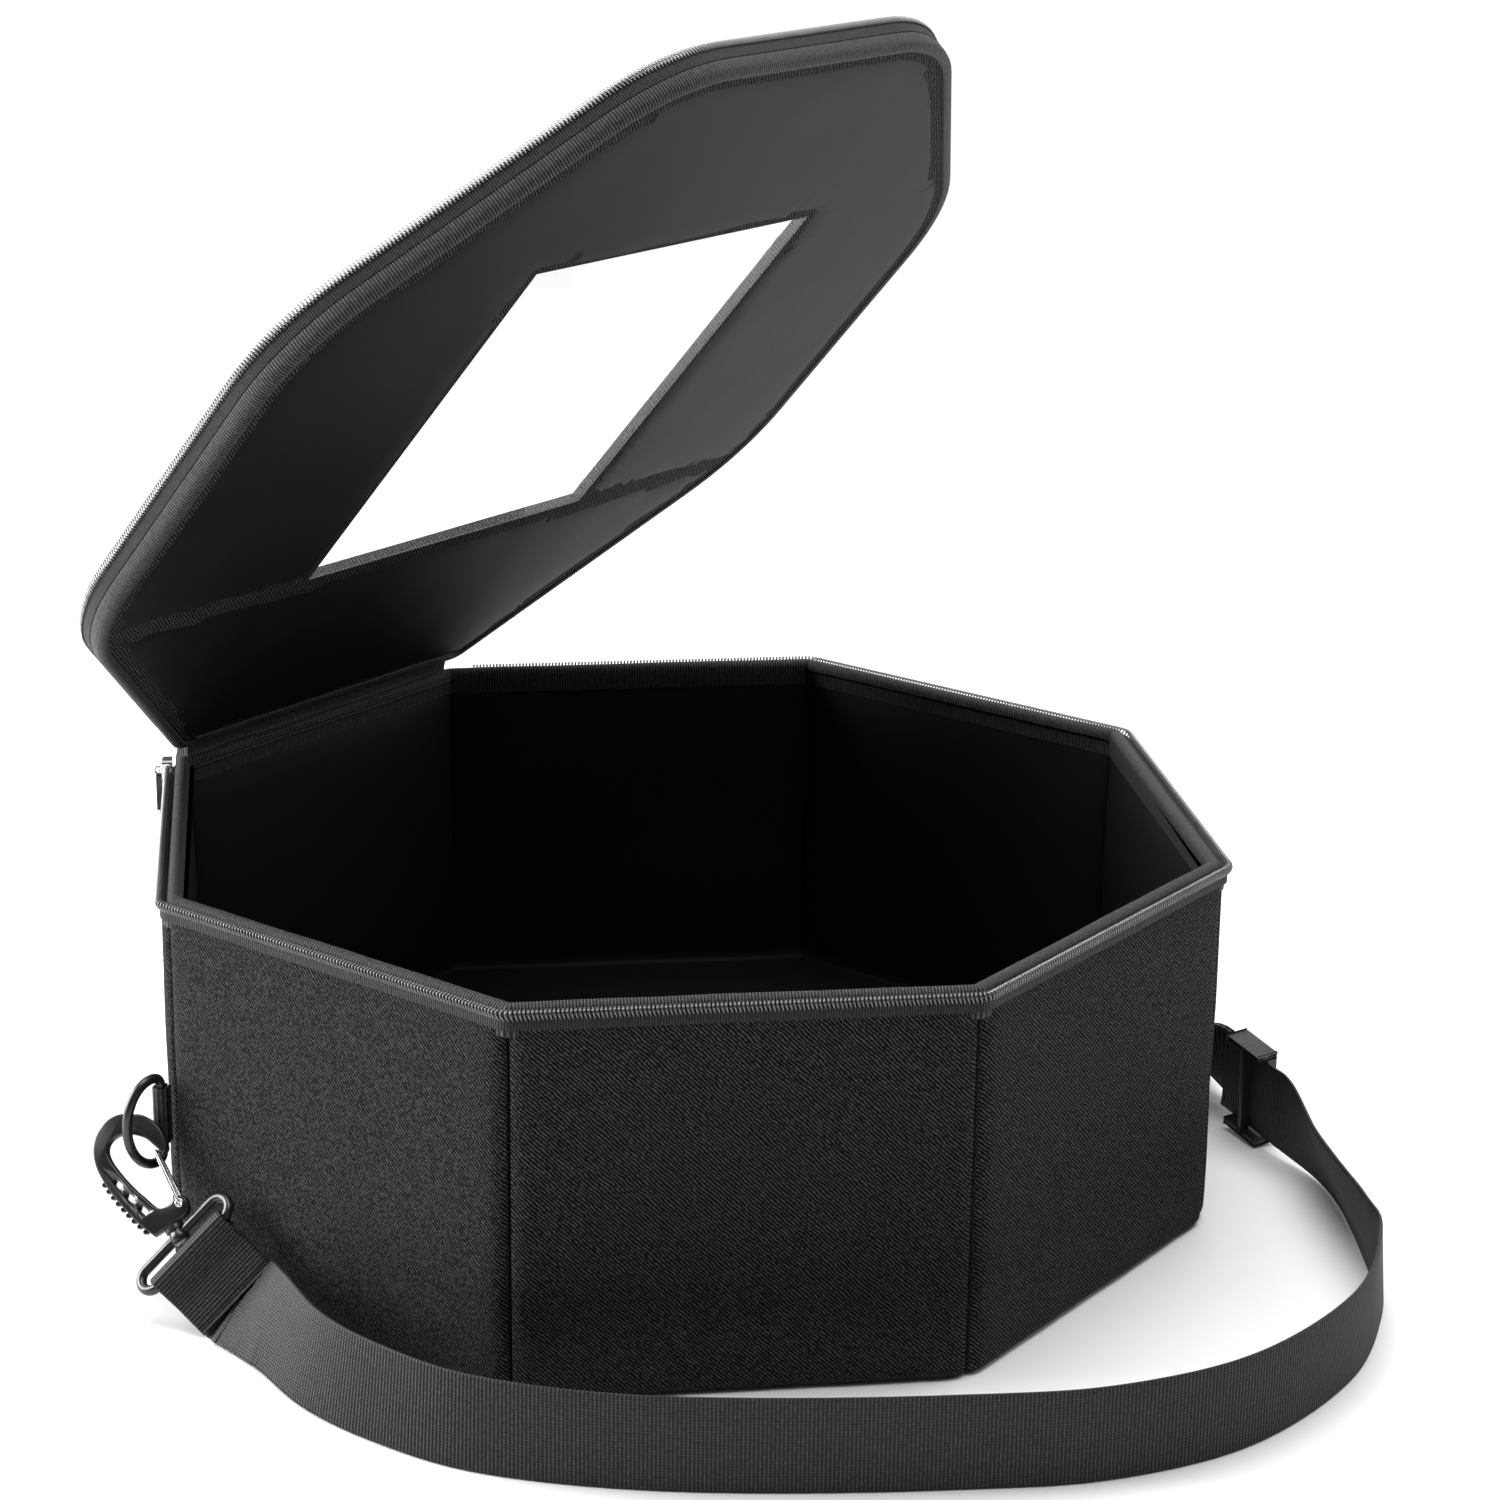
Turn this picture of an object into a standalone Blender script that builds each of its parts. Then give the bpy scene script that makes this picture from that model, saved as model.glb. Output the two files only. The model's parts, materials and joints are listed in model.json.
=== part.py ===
"""Hat box: an eight-sided padded carrying box whose zip lid stands open, with a shoulder strap.

Metres, +Z up. The origin is the centre of the underside, at the floor. The lid is hinged
along the side that faces -X, and the strap lies on the floor round the +X side.
"""
import math

import bmesh
import bpy
from mathutils import Matrix, Vector

# Box
BOX_WIDTH = 0.450
WALL_HEIGHT = 0.1565
WALL_THICKNESS = 0.007
PANEL_ROUNDING = 0.0035
BASE_THICKNESS = 0.007
LINING_THICKNESS = 0.001
GAP = 0.0003

# Rim: cloth binding over the wall, and half a zip outside it
BINDING_HEIGHT = 0.0112
BINDING_ROUNDING = 0.0032
RIM_CORNER_RADIUS = 0.009
TAPE_THICKNESS = 0.0012
TAPE_HEIGHT = 0.0125
COIL_RADIUS = 0.0014
ZIP_END_INSET = 0.010

# Lid, measured from its hinge axis: outwards from the axis, and up through its thickness
LID_OPENING_DEG = 48.8
HINGE_INSET = 0.0034
HINGE_RISE = 0.0035
HINGE_ROLL_RADIUS = 0.0031
HINGE_CLEARANCE = 0.0005
LID_EDGE_INSET = 0.0031
LID_REST_GAP = 0.0006
LID_THICKNESS = 0.0088
LID_BINDING_THICKNESS = 0.0014
LID_BINDING_LIP = 0.0045
LID_BINDING_LIP_DEPTH = 0.0008
LID_CORNER_RADIUS = 0.085
LID_HINGE_CORNER_RADIUS = 0.012
LID_TAPE_HEIGHT = 0.0055
WINDOW_START = 0.130
WINDOW_LENGTH = 0.201
WINDOW_WIDTH = 0.184
WINDOW_SHEET_THICKNESS = 0.0008
LINING_SEAM_BEFORE_WINDOW = 0.0015

# Zip slider and its pull
SLIDER_LENGTH = 0.009
SLIDER_HEIGHT = 0.008
SLIDER_DEPTH = 0.0026
SLIDER_FROM_CORNER = 0.0055
STAPLE_REACH = 0.0026
STAPLE_HALF_WIDTH = 0.0027
STAPLE_WIRE = 0.0007
PULL_LENGTH = 0.024
PULL_WIDTH = 0.0058
PULL_THICKNESS = 0.0014
PULL_BARREL_RADIUS = 0.0017
PULL_HOLE_RADIUS = 0.0016

# Webbing tab and ring sewn into a corner
TAB_HEIGHT = 0.026
WEBBING_THICKNESS = 0.0015
TAB_START = 0.0
TAB_RISE = 0.0018
RING_WIRE = 0.0021
RING_BAR_OUT = 0.0042
RING_REACH = 0.0178
RING_HALF_HEIGHT = 0.0191
RING_CORNER = 0.004
RING_LEVEL = 0.0720
RING_SWING_DEG = 16.0

# Snap hook; its outline runs up its length from the swivel, and across towards the gate
HOOK_LENGTH = 0.0565
HOOK_WIDTH = 0.0315
HOOK_THICKNESS = 0.0046
HOOK_HANG_DEG = -34.0
HOOK_BEARING_SHARE = 0.692
HOOK_BEARING_ACROSS = 0.001
HOOK_AXIS = (0.200, -0.740, 0.642)
HOOK_FACE = (0.571, 0.621, 0.538)
GATE_WIRE = 0.0008
GATE_PIVOT_SHARE = (0.152, 0.245)
GATE_TIP_SHARE = (0.593, 0.305)
GATE_TIP_HALF_WIDTH = 0.0022
GATE_BORE_CLEARANCE = 0.00035
SWIVEL_POST_RADIUS = 0.0017
SWIVEL_BOSS_RADIUS = 0.0042
SWIVEL_BOSS_LENGTH = 0.0078
SWIVEL_SOCKET_DEPTH = 0.0020
SWIVEL_CLEARANCE = 0.0004
HOOK_BASE_SHARE = 0.053

# Strap loop, and the strap's webbing
LOOP_WIRE = 0.0022
LOOP_LENGTH = 0.054
LOOP_SPACING = 0.0108
LOOP_ACROSS = (-0.709, 0.137, 0.691)
LOOP_TOWARDS_STRAP = (-0.100, 0.951, -0.293)
STRAP_WIDTH = 0.040
STRAP_SEWN_LENGTH = 0.028
STRAP_LAYER_GAP = 0.0004
STRAP_RUN_FRONT = (-0.468, 0.642, -0.530)
STRAP_RUN_BACK = (-0.420, 0.880, -0.150)

# Slide adjuster
ADJUSTER_LENGTH = 0.024
ADJUSTER_BAR = 0.0030
ADJUSTER_RAIL = 0.0028
ADJUSTER_CLEARANCE = 0.0009

# The strap's lower edge on the floor: heading round the box, reach and lift as shares of the
# half box width and of the webbing's width, and how far the webbing leans in towards the box.
STRAP_ROUTE = (
    {"heading": 268.5, "reach": 1.181, "lift": 0.00, "lean": 24},
    {"heading": 276.3, "reach": 1.238, "lift": 0.00, "lean": 14},
    {"heading": 283.5, "reach": 1.277, "lift": 0.00, "lean": 8},
    {"heading": 292.4, "reach": 1.314, "lift": 0.00, "lean": 3},
    {"heading": 302.8, "reach": 1.326, "lift": 0.00, "lean": 0},
    {"heading": 314.4, "reach": 1.345, "lift": 0.00, "lean": 0},
    {"heading": 328.1, "reach": 1.407, "lift": 0.00, "lean": 0},
    {"heading": 338.4, "reach": 1.488, "lift": 0.00, "lean": 0},
    {"heading": 348.9, "reach": 1.538, "lift": 0.00, "lean": 0},
    {"heading": 360.7, "reach": 1.530, "lift": 0.00, "lean": 0},
    {"heading": 370.9, "reach": 1.479, "lift": 0.00, "lean": 4},
    {"heading": 375.8, "reach": 1.432, "lift": 0.00, "lean": 8},
    {"heading": 382.2, "reach": 1.378, "lift": 0.00, "lean": 16},
    {"heading": 388.4, "reach": 1.337, "lift": 0.00, "lean": 20},
    {"heading": 393.1, "reach": 1.300, "lift": 0.01, "lean": 16},
    {"heading": 402.3, "reach": 1.196, "lift": 0.14, "lean": 5},
)
ADJUSTER_ROW = 15
ROUTE_STEPS = 5

# Outline of the hook as shares of its length and its width
HOOK_OUTLINE = (
    {"up": 0.053, "across": -0.270},
    {"up": 0.177, "across": -0.359},
    {"up": 0.319, "across": -0.419},
    {"up": 0.478, "across": -0.470},
    {"up": 0.619, "across": -0.492},
    {"up": 0.743, "across": -0.479},
    {"up": 0.857, "across": -0.413},
    {"up": 0.949, "across": -0.276},
    {"up": 1.000, "across": -0.063},
    {"up": 0.990, "across": 0.127},
    {"up": 0.935, "across": 0.286},
    {"up": 0.874, "across": 0.413},
    {"up": 0.754, "across": 0.508},
    {"up": 0.637, "across": 0.508},
    {"up": 0.552, "across": 0.450},
    {"up": 0.540, "across": 0.372},
    {"up": 0.584, "across": 0.356},
    {"up": 0.646, "across": 0.324},
    {"up": 0.712, "across": 0.285},
    {"up": 0.782, "across": 0.190},
    {"up": 0.838, "across": 0.057},
    {"up": 0.852, "across": -0.111},
    {"up": 0.815, "across": -0.222},
    {"up": 0.743, "across": -0.262},
    {"up": 0.637, "across": -0.251},
    {"up": 0.478, "across": -0.200},
    {"up": 0.354, "across": -0.133},
    {"up": 0.221, "across": -0.048},
    {"up": 0.191, "across": 0.095},
    {"up": 0.212, "across": 0.206},
    {"up": 0.204, "across": 0.302},
    {"up": 0.150, "across": 0.343},
    {"up": 0.088, "across": 0.302},
    {"up": 0.053, "across": 0.190},
)
HOOK_SLOTS = (
    {"up": 0.265, "across": -0.222},
    {"up": 0.403, "across": -0.292},
    {"up": 0.538, "across": -0.338},
)
HOOK_SLOT_LENGTH = 0.0052
HOOK_SLOT_WIDTH = 0.0030

HALF_WIDTH = BOX_WIDTH / 2
SIDES = 8
SIDE_STEP = 2 * math.pi / SIDES
CORNER_SHARE = 1 / math.cos(SIDE_STEP / 2)
HINGE_SIDE = 6
RIM_HEIGHT = WALL_HEIGHT + GAP + BINDING_HEIGHT
UP = Vector((0, 0, 1))
CORNER_STEPS = 4
LID_CORNER_STEPS = 7
WIRE_SIDES = 10


# Materials

def make_material(name, colour, roughness, metallic=0.0, alpha=1.0):
    """A plain Principled material."""
    material = bpy.data.materials.new(name)
    material.use_nodes = True
    shader = material.node_tree.nodes["Principled BSDF"]
    shader.inputs["Base Color"].default_value = (*colour, 1.0)
    shader.inputs["Roughness"].default_value = roughness
    shader.inputs["Metallic"].default_value = metallic
    shader.inputs["Alpha"].default_value = alpha
    material.diffuse_color = (*colour, alpha)
    return material


def make_materials():
    """Every finish on the box."""
    return {
        "cloth": make_material("cloth", (0.020, 0.020, 0.021), 0.85),
        "lining": make_material("lining", (0.013, 0.013, 0.014), 0.70),
        "binding": make_material("binding", (0.028, 0.028, 0.029), 0.75),
        "zip": make_material("zip", (0.022, 0.022, 0.023), 0.45),
        "webbing": make_material("webbing", (0.030, 0.030, 0.031), 0.70),
        "black_metal": make_material("black_metal", (0.018, 0.018, 0.019), 0.35, 0.6),
        "steel": make_material("steel", (0.62, 0.62, 0.63), 0.25, 1.0),
        "plastic": make_material("plastic", (0.025, 0.025, 0.026), 0.40),
        "clear": make_material("clear", (0.92, 0.94, 0.95), 0.08, 0.0, 0.25),
    }


# Mesh helpers

def finish_mesh(name, builder, material, origin=Vector((0, 0, 0)), smooth_deg=40):
    """Turn a bmesh into a named object whose origin is where its joint or seat is."""
    bmesh.ops.recalc_face_normals(builder, faces=builder.faces)
    bmesh.ops.translate(builder, verts=builder.verts, vec=-origin)
    mesh = bpy.data.meshes.new(name)
    builder.to_mesh(mesh)
    builder.free()
    mesh.shade_smooth()
    mesh.set_sharp_from_angle(angle=math.radians(smooth_deg))
    mesh.materials.append(material)
    thing = bpy.data.objects.new(name, mesh)
    thing.location = origin
    bpy.context.scene.collection.objects.link(thing)
    return thing


def loft(rings, closed=False):
    """Skin equal rings of points; an open run of rings is capped at both ends."""
    builder = bmesh.new()
    loops = [[builder.verts.new(point) for point in ring] for ring in rings]
    count = len(loops[0])
    spans = len(loops) if closed else len(loops) - 1
    for index in range(spans):
        first = loops[index]
        second = loops[(index + 1) % len(loops)]
        for side in range(count):
            after = (side + 1) % count
            builder.faces.new((first[side], first[after], second[after], second[side]))
    if not closed:
        builder.faces.new(list(reversed(loops[0])))
        builder.faces.new(loops[-1])
    return builder


def make_tool(name, builder, origin=Vector((0, 0, 0))):
    """A helper solid that cuts or joins another and isn't itself part of the box."""
    tool = finish_mesh(name, builder, bpy.data.materials["plastic"], origin)
    tool.hide_render = True
    tool.display_type = "WIRE"
    return tool


def combine(target, tool, operation):
    """Cut the tool out of the target, or join it on."""
    modifier = target.modifiers.new(tool.name, "BOOLEAN")
    modifier.operation = operation
    modifier.object = tool


def tube(points, radius, sides=WIRE_SIDES, closed=True):
    """A round wire through a list of points, without twist."""
    count = len(points)
    rings = []
    across = None
    for index, point in enumerate(points):
        if closed:
            along = points[(index + 1) % count] - points[index - 1]
        else:
            along = points[min(index + 1, count - 1)] - points[max(index - 1, 0)]
        along.normalize()
        if across is None:
            across = along.orthogonal().normalized()
        across = (across - along * across.dot(along)).normalized()
        beside = along.cross(across)
        angles = (2 * math.pi * step / sides for step in range(sides))
        rings.append([point + (across * math.cos(a) + beside * math.sin(a)) * radius for a in angles])
    return loft(rings, closed)


def rounded_run(corners, radius, steps, closed=True):
    """Replace each corner of a polygon by an arc; the radius may be a list with one for each."""
    points = []
    count = len(corners)
    radii = radius if isinstance(radius, list) else [radius] * count
    for index, corner in enumerate(corners):
        if not closed and index in (0, count - 1):
            points.append(corner.copy())
            continue
        towards_last = (corners[index - 1] - corner).normalized()
        towards_next = (corners[(index + 1) % count] - corner).normalized()
        half = towards_last.angle(towards_next) / 2
        inset = radii[index] / math.tan(half)
        start = corner + towards_last * inset
        centre = corner + (towards_last + towards_next).normalized() * (radii[index] / math.sin(half))
        arm = start - centre
        turn = math.pi - 2 * half
        axis = towards_next.cross(towards_last).normalized()
        for step in range(steps):
            points.append(centre + Matrix.Rotation(turn * step / (steps - 1), 3, axis) @ arm)
    return points


def box_builder(low, high):
    """A plain block between two corners."""
    flat = [(low[0], low[1]), (high[0], low[1]), (high[0], high[1]), (low[0], high[1])]
    return loft([[Vector((x, y, z)) for x, y in flat] for z in (low[2], high[2])])


def disc_ring(centre, axis, radius, sides):
    """Points round a circle that faces along an axis."""
    across = axis.orthogonal().normalized()
    beside = axis.cross(across)
    angles = (2 * math.pi * step / sides for step in range(sides))
    return [centre + (across * math.cos(a) + beside * math.sin(a)) * radius for a in angles]


def rod(start, end, radius, sides=12):
    """A round bar between two points."""
    axis = (end - start).normalized()
    return loft([disc_ring(start, axis, radius, sides), disc_ring(end, axis, radius, sides)])


# The eight-sided plan

def side_normal(side):
    """Outward direction of a side in plan."""
    angle = -math.pi / 2 + SIDE_STEP * side
    return Vector((math.cos(angle), math.sin(angle), 0))


def plan_corners(distances, centre=Vector((0, 0, 0))):
    """Corners of the plan whose side k lies distances[k] from the centre."""
    corners = []
    for side in range(SIDES):
        before = side_normal(side - 1)
        after = side_normal(side)
        spread = before.x * after.y - before.y * after.x
        x = (distances[side - 1] * after.y - distances[side] * before.y) / spread
        y = (before.x * distances[side] - after.x * distances[side - 1]) / spread
        corners.append(centre + Vector((x, y, 0)))
    return corners


def offset_sides(distances, change):
    """The same plan, grown or shrunk."""
    return [distance + change for distance in distances]


def edge_strip(distances, profile, radii, centre=Vector((0, 0, 0)), cut=None, steps=CORNER_STEPS):
    """Sweep a profile of (outwards, up) round the plan, or round seven sides from a cut line."""
    runs = []
    for outwards, height in profile:
        grown = offset_sides(radii, outwards)
        sides = offset_sides(distances, outwards)
        corners = plan_corners(sides, centre)
        lift = Vector((0, 0, height))
        if cut is None:
            run = rounded_run(corners, grown, steps)
        else:
            order = [(HINGE_SIDE + 1 + k) % SIDES for k in range(SIDES)]
            seven = [corners[index] for index in order]
            grown = [grown[index] for index in order]
            seven[0] = cut_point(seven[0], seven[1], cut)
            seven[-1] = cut_point(seven[-1], seven[-2], cut)
            run = rounded_run(seven, grown, steps, closed=False)
        runs.append([point + lift for point in run])
    rings = [[run[index] for run in runs] for index in range(len(runs[0]))]
    return loft(rings, closed=cut is None)


def cut_point(start, towards, cut):
    """Where a side, from its corner on the hinge side, crosses the line x = cut."""
    share = (cut - start.x) / (towards.x - start.x)
    return start.lerp(towards, share)


def round_profile(outwards, height, radius, sides=8):
    """Profile of a round cord whose centre is at (outwards, height)."""
    angles = (2 * math.pi * (step + 0.5) / sides for step in range(sides))
    return [(outwards + radius * math.cos(a), height + radius * math.sin(a)) for a in angles]


def cap_profile(inner, outer, low, high, radius):
    """Profile of a strip with a rounded top."""
    points = [(inner, low), (outer, low)]
    for step in range(4):
        a = math.pi / 2 * step / 3
        points.append((outer - radius + radius * math.cos(a), high - radius + radius * math.sin(a)))
    for step in range(4):
        a = math.pi / 2 * (1 + step / 3)
        points.append((inner + radius + radius * math.cos(a), high - radius + radius * math.sin(a)))
    return points


# Box body

def wall_panel(side, material):
    """One padded wall cell, with mitred ends and a rounded outer face."""
    outer = plan_corners([HALF_WIDTH] * SIDES)
    inner = plan_corners([HALF_WIDTH - WALL_THICKNESS] * SIDES)
    after = (side + 1) % SIDES
    along = (outer[after] - outer[side]).normalized() * (GAP * 0.75)
    plan = [outer[side] + along, outer[after] - along, inner[after] - along, inner[side] + along]
    builder = loft([[point + UP * height for point in plan] for height in (0.0, WALL_HEIGHT)])
    normal = side_normal(side)
    outer_edges = [
        edge for edge in builder.edges
        if all(vert.co.dot(normal) > HALF_WIDTH - GAP for vert in edge.verts)
    ]
    bmesh.ops.bevel(
        builder, geom=outer_edges, offset=PANEL_ROUNDING, segments=3,
        profile=0.5, affect="EDGES",
    )
    return finish_mesh(f"wall_panel_{side + 1}", builder, material)


def base_panel(material):
    """The stiff floor board, inside the walls."""
    apothem = HALF_WIDTH - WALL_THICKNESS - GAP
    corners = plan_corners([apothem] * SIDES)
    builder = loft([[point + UP * height for point in corners] for height in (0.0, BASE_THICKNESS)])
    return finish_mesh("base_panel", builder, material)


def box_lining(material):
    """The smooth cloth cup inside the walls."""
    outside = HALF_WIDTH - WALL_THICKNESS - GAP
    inside = outside - LINING_THICKNESS
    low = BASE_THICKNESS + GAP
    levels = (
        (outside, low), (outside, WALL_HEIGHT),
        (inside, WALL_HEIGHT), (inside, low + LINING_THICKNESS),
    )
    rings = [[p + UP * z for p in plan_corners([apothem] * SIDES)] for apothem, z in levels]
    return finish_mesh("box_lining", loft(rings), material)


def rim_binding(material):
    """Cloth binding over the top of the walls and the lining."""
    inner = -(WALL_THICKNESS + GAP + LINING_THICKNESS)
    low = WALL_HEIGHT + GAP
    profile = cap_profile(inner, 0.0, low, RIM_HEIGHT, BINDING_ROUNDING)
    radii = [RIM_CORNER_RADIUS] * SIDES
    return finish_mesh("rim_binding", edge_strip([HALF_WIDTH] * SIDES, profile, radii), material)


def box_zip(materials):
    """The tape and the coil outside the rim, on every side but the hinge."""
    cut = ZIP_END_INSET - HALF_WIDTH
    sides = [HALF_WIDTH] * SIDES
    radii = [RIM_CORNER_RADIUS] * SIDES
    high = RIM_HEIGHT - 2 * COIL_RADIUS - GAP
    low = high - TAPE_HEIGHT
    tape = [(GAP, low), (GAP + TAPE_THICKNESS, low), (GAP + TAPE_THICKNESS, high), (GAP, high)]
    builder = edge_strip(sides, tape, radii, cut=cut)
    finish_mesh("box_zip_tape", builder, materials["binding"])
    coil = round_profile(GAP + COIL_RADIUS, RIM_HEIGHT - COIL_RADIUS, COIL_RADIUS)
    builder = edge_strip(sides, coil, radii, cut=cut)
    finish_mesh("box_zip_coil", builder, materials["zip"])


# Lid

def lid_pivot():
    """An empty on the hinge axis; its X runs up the open lid and its Z out of the lid's top."""
    pivot = bpy.data.objects.new("lid_pivot", None)
    pivot.location = hinge_point()
    pivot.rotation_euler = (0, -math.radians(LID_OPENING_DEG), 0)
    bpy.context.scene.collection.objects.link(pivot)
    return pivot


def hinge_point():
    """The middle of the hinge axis."""
    return Vector((HINGE_INSET - HALF_WIDTH, 0, RIM_HEIGHT + HINGE_RISE))


LID_CENTRE = Vector((HALF_WIDTH - HINGE_INSET, 0, 0))
LID_UNDERSIDE = LID_REST_GAP - HINGE_RISE
LID_TOP = LID_UNDERSIDE + LID_THICKNESS


def lid_sides(inset=0.0):
    """Distances of the lid's sides; the hinge side stops short of the hinge roll."""
    sides = [HALF_WIDTH - LID_EDGE_INSET - inset] * SIDES
    near_edge = HINGE_ROLL_RADIUS + HINGE_CLEARANCE
    sides[HINGE_SIDE] = LID_CENTRE.x - near_edge - inset
    return sides


def lid_radii(inset=0.0):
    """Radii of the lid's corners; the two beside the hinge are nearly sharp."""
    radii = [LID_CORNER_RADIUS - inset] * SIDES
    for corner in (HINGE_SIDE, HINGE_SIDE + 1):
        radii[corner] = LID_HINGE_CORNER_RADIUS - inset
    return radii


def lid_slab(name, inset, low, high, material, pivot):
    """An eight-sided sheet of the lid."""
    corners = plan_corners(lid_sides(inset), LID_CENTRE)
    outline = rounded_run(corners, lid_radii(inset), LID_CORNER_STEPS)
    builder = loft([[point + UP * height for point in outline] for height in (low, high)])
    slab = finish_mesh(name, builder, material)
    slab.parent = pivot
    return slab


def window_tool(pivot, name, start, end, half_width):
    """The block that opens the window through the lid's layers."""
    low = (start, -half_width, LID_UNDERSIDE - LID_THICKNESS)
    high = (end, half_width, LID_TOP + LID_THICKNESS)
    tool = make_tool(name, box_builder(low, high))
    tool.parent = pivot
    return tool


def lid_layers(materials, pivot):
    """The padded board, and the two lining pieces that meet at a seam before the window."""
    window_end = WINDOW_START + WINDOW_LENGTH
    window = window_tool(pivot, "window_cutter", WINDOW_START, window_end, WINDOW_WIDTH / 2)
    board_low = LID_UNDERSIDE + LID_BINDING_LIP_DEPTH + LINING_THICKNESS
    board = lid_slab("lid_panel", LID_BINDING_THICKNESS + GAP, board_low, LID_TOP,
                     materials["cloth"], pivot)
    combine(board, window, "DIFFERENCE")
    seam = WINDOW_START - LINING_SEAM_BEFORE_WINDOW
    inset = LID_BINDING_LIP + GAP
    low = LID_UNDERSIDE + LID_BINDING_LIP_DEPTH - GAP
    high = low + LINING_THICKNESS
    far = lid_slab("lid_lining_far", inset, low, high, materials["lining"], pivot)
    combine(far, window, "DIFFERENCE")
    combine(far, window_tool(pivot, "far_trim", -BOX_WIDTH, seam + GAP / 2, BOX_WIDTH), "DIFFERENCE")
    near = lid_slab("lid_lining_near", inset, low, high, materials["lining"], pivot)
    combine(near, window_tool(pivot, "near_trim", seam - GAP / 2, BOX_WIDTH, BOX_WIDTH), "DIFFERENCE")
    low_corner = (WINDOW_START + GAP, GAP - WINDOW_WIDTH / 2, board_low + GAP)
    high_corner = (window_end - GAP, WINDOW_WIDTH / 2 - GAP, board_low + GAP + WINDOW_SHEET_THICKNESS)
    sheet = finish_mesh("window_sheet", box_builder(low_corner, high_corner), materials["clear"])
    sheet.parent = pivot


def lid_edge(materials, pivot):
    """The binding round the lid, and the lid's half of the zip standing behind it."""
    depth = LID_UNDERSIDE + LID_BINDING_LIP_DEPTH
    binding = [
        (-LID_BINDING_LIP, LID_UNDERSIDE), (0.0, LID_UNDERSIDE), (0.0, LID_TOP),
        (-LID_BINDING_THICKNESS, LID_TOP), (-LID_BINDING_THICKNESS, depth), (-LID_BINDING_LIP, depth),
    ]
    strip = edge_strip(lid_sides(), binding, lid_radii(), LID_CENTRE, steps=LID_CORNER_STEPS)
    strip = finish_mesh("lid_binding", strip, materials["binding"])
    cut = ZIP_END_INSET
    low = LID_TOP + GAP
    high = low + LID_TAPE_HEIGHT
    tape = [(-TAPE_THICKNESS, low), (0.0, low), (0.0, high), (-TAPE_THICKNESS, high)]
    band = edge_strip(lid_sides(), tape, lid_radii(), LID_CENTRE, cut, LID_CORNER_STEPS)
    band = finish_mesh("lid_zip_tape", band, materials["binding"])
    coil = round_profile(-TAPE_THICKNESS / 2, high + GAP + COIL_RADIUS, COIL_RADIUS)
    teeth = edge_strip(lid_sides(), coil, lid_radii(), LID_CENTRE, cut, LID_CORNER_STEPS)
    teeth = finish_mesh("lid_zip_coil", teeth, materials["zip"])
    for piece in (strip, band, teeth):
        piece.parent = pivot


def hinge_roll(material):
    """The fold of cloth that joins lid and box, along the hinge side."""
    half = (HALF_WIDTH - RIM_CORNER_RADIUS) * math.tan(SIDE_STEP / 2)
    start = hinge_point() - Vector((0, half, 0))
    end = hinge_point() + Vector((0, half, 0))
    return finish_mesh("hinge_fold", rod(start, end, HINGE_ROLL_RADIUS, 14), material)


# Zip slider

def slider_frame():
    """Seat of the slider by the hinge corner: point on the wall, along the zip, and outwards."""
    side = HINGE_SIDE + 1
    corners = plan_corners([HALF_WIDTH] * SIDES)
    along = (corners[(side + 1) % SIDES] - corners[side]).normalized()
    point = corners[side] + along * SLIDER_FROM_CORNER
    return point, along, side_normal(side)


def oriented_block(point, along, outwards, lengths, heights, depths):
    """A block by its reach along the zip, up and outwards."""
    rings = []
    for height in heights:
        flat = ((lengths[0], depths[0]), (lengths[1], depths[0]),
                (lengths[1], depths[1]), (lengths[0], depths[1]))
        rings.append([point + along * a + outwards * d + UP * height for a, d in flat])
    return loft(rings)


def staple_centre():
    """Middle of the slider's bar, which the pull swings on."""
    point, _, outwards = slider_frame()
    return point + outwards * (GAP + SLIDER_DEPTH + STAPLE_REACH) + UP * (RIM_HEIGHT - SLIDER_HEIGHT / 2)


def zip_slider(material):
    """The slider's body, with a bar held off its face by two posts."""
    point, along, outwards = slider_frame()
    half = SLIDER_LENGTH / 2
    builder = oriented_block(point, along, outwards, (-half, half),
                             (RIM_HEIGHT - SLIDER_HEIGHT, RIM_HEIGHT), (GAP, GAP + SLIDER_DEPTH))
    slider = finish_mesh("zip_slider", builder, material, staple_centre())
    reach = along * STAPLE_HALF_WIDTH
    seat = outwards * (STAPLE_REACH + SLIDER_DEPTH / 2)
    bar = staple_centre()
    corners = [bar - reach - seat, bar - reach, bar + reach, bar + reach - seat]
    staple = rounded_run(corners, STAPLE_WIRE * 1.5, 3, closed=False)
    combine(slider, make_tool("slider_staple", tube(staple, STAPLE_WIRE, 8, closed=False)), "UNION")
    return slider


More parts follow.
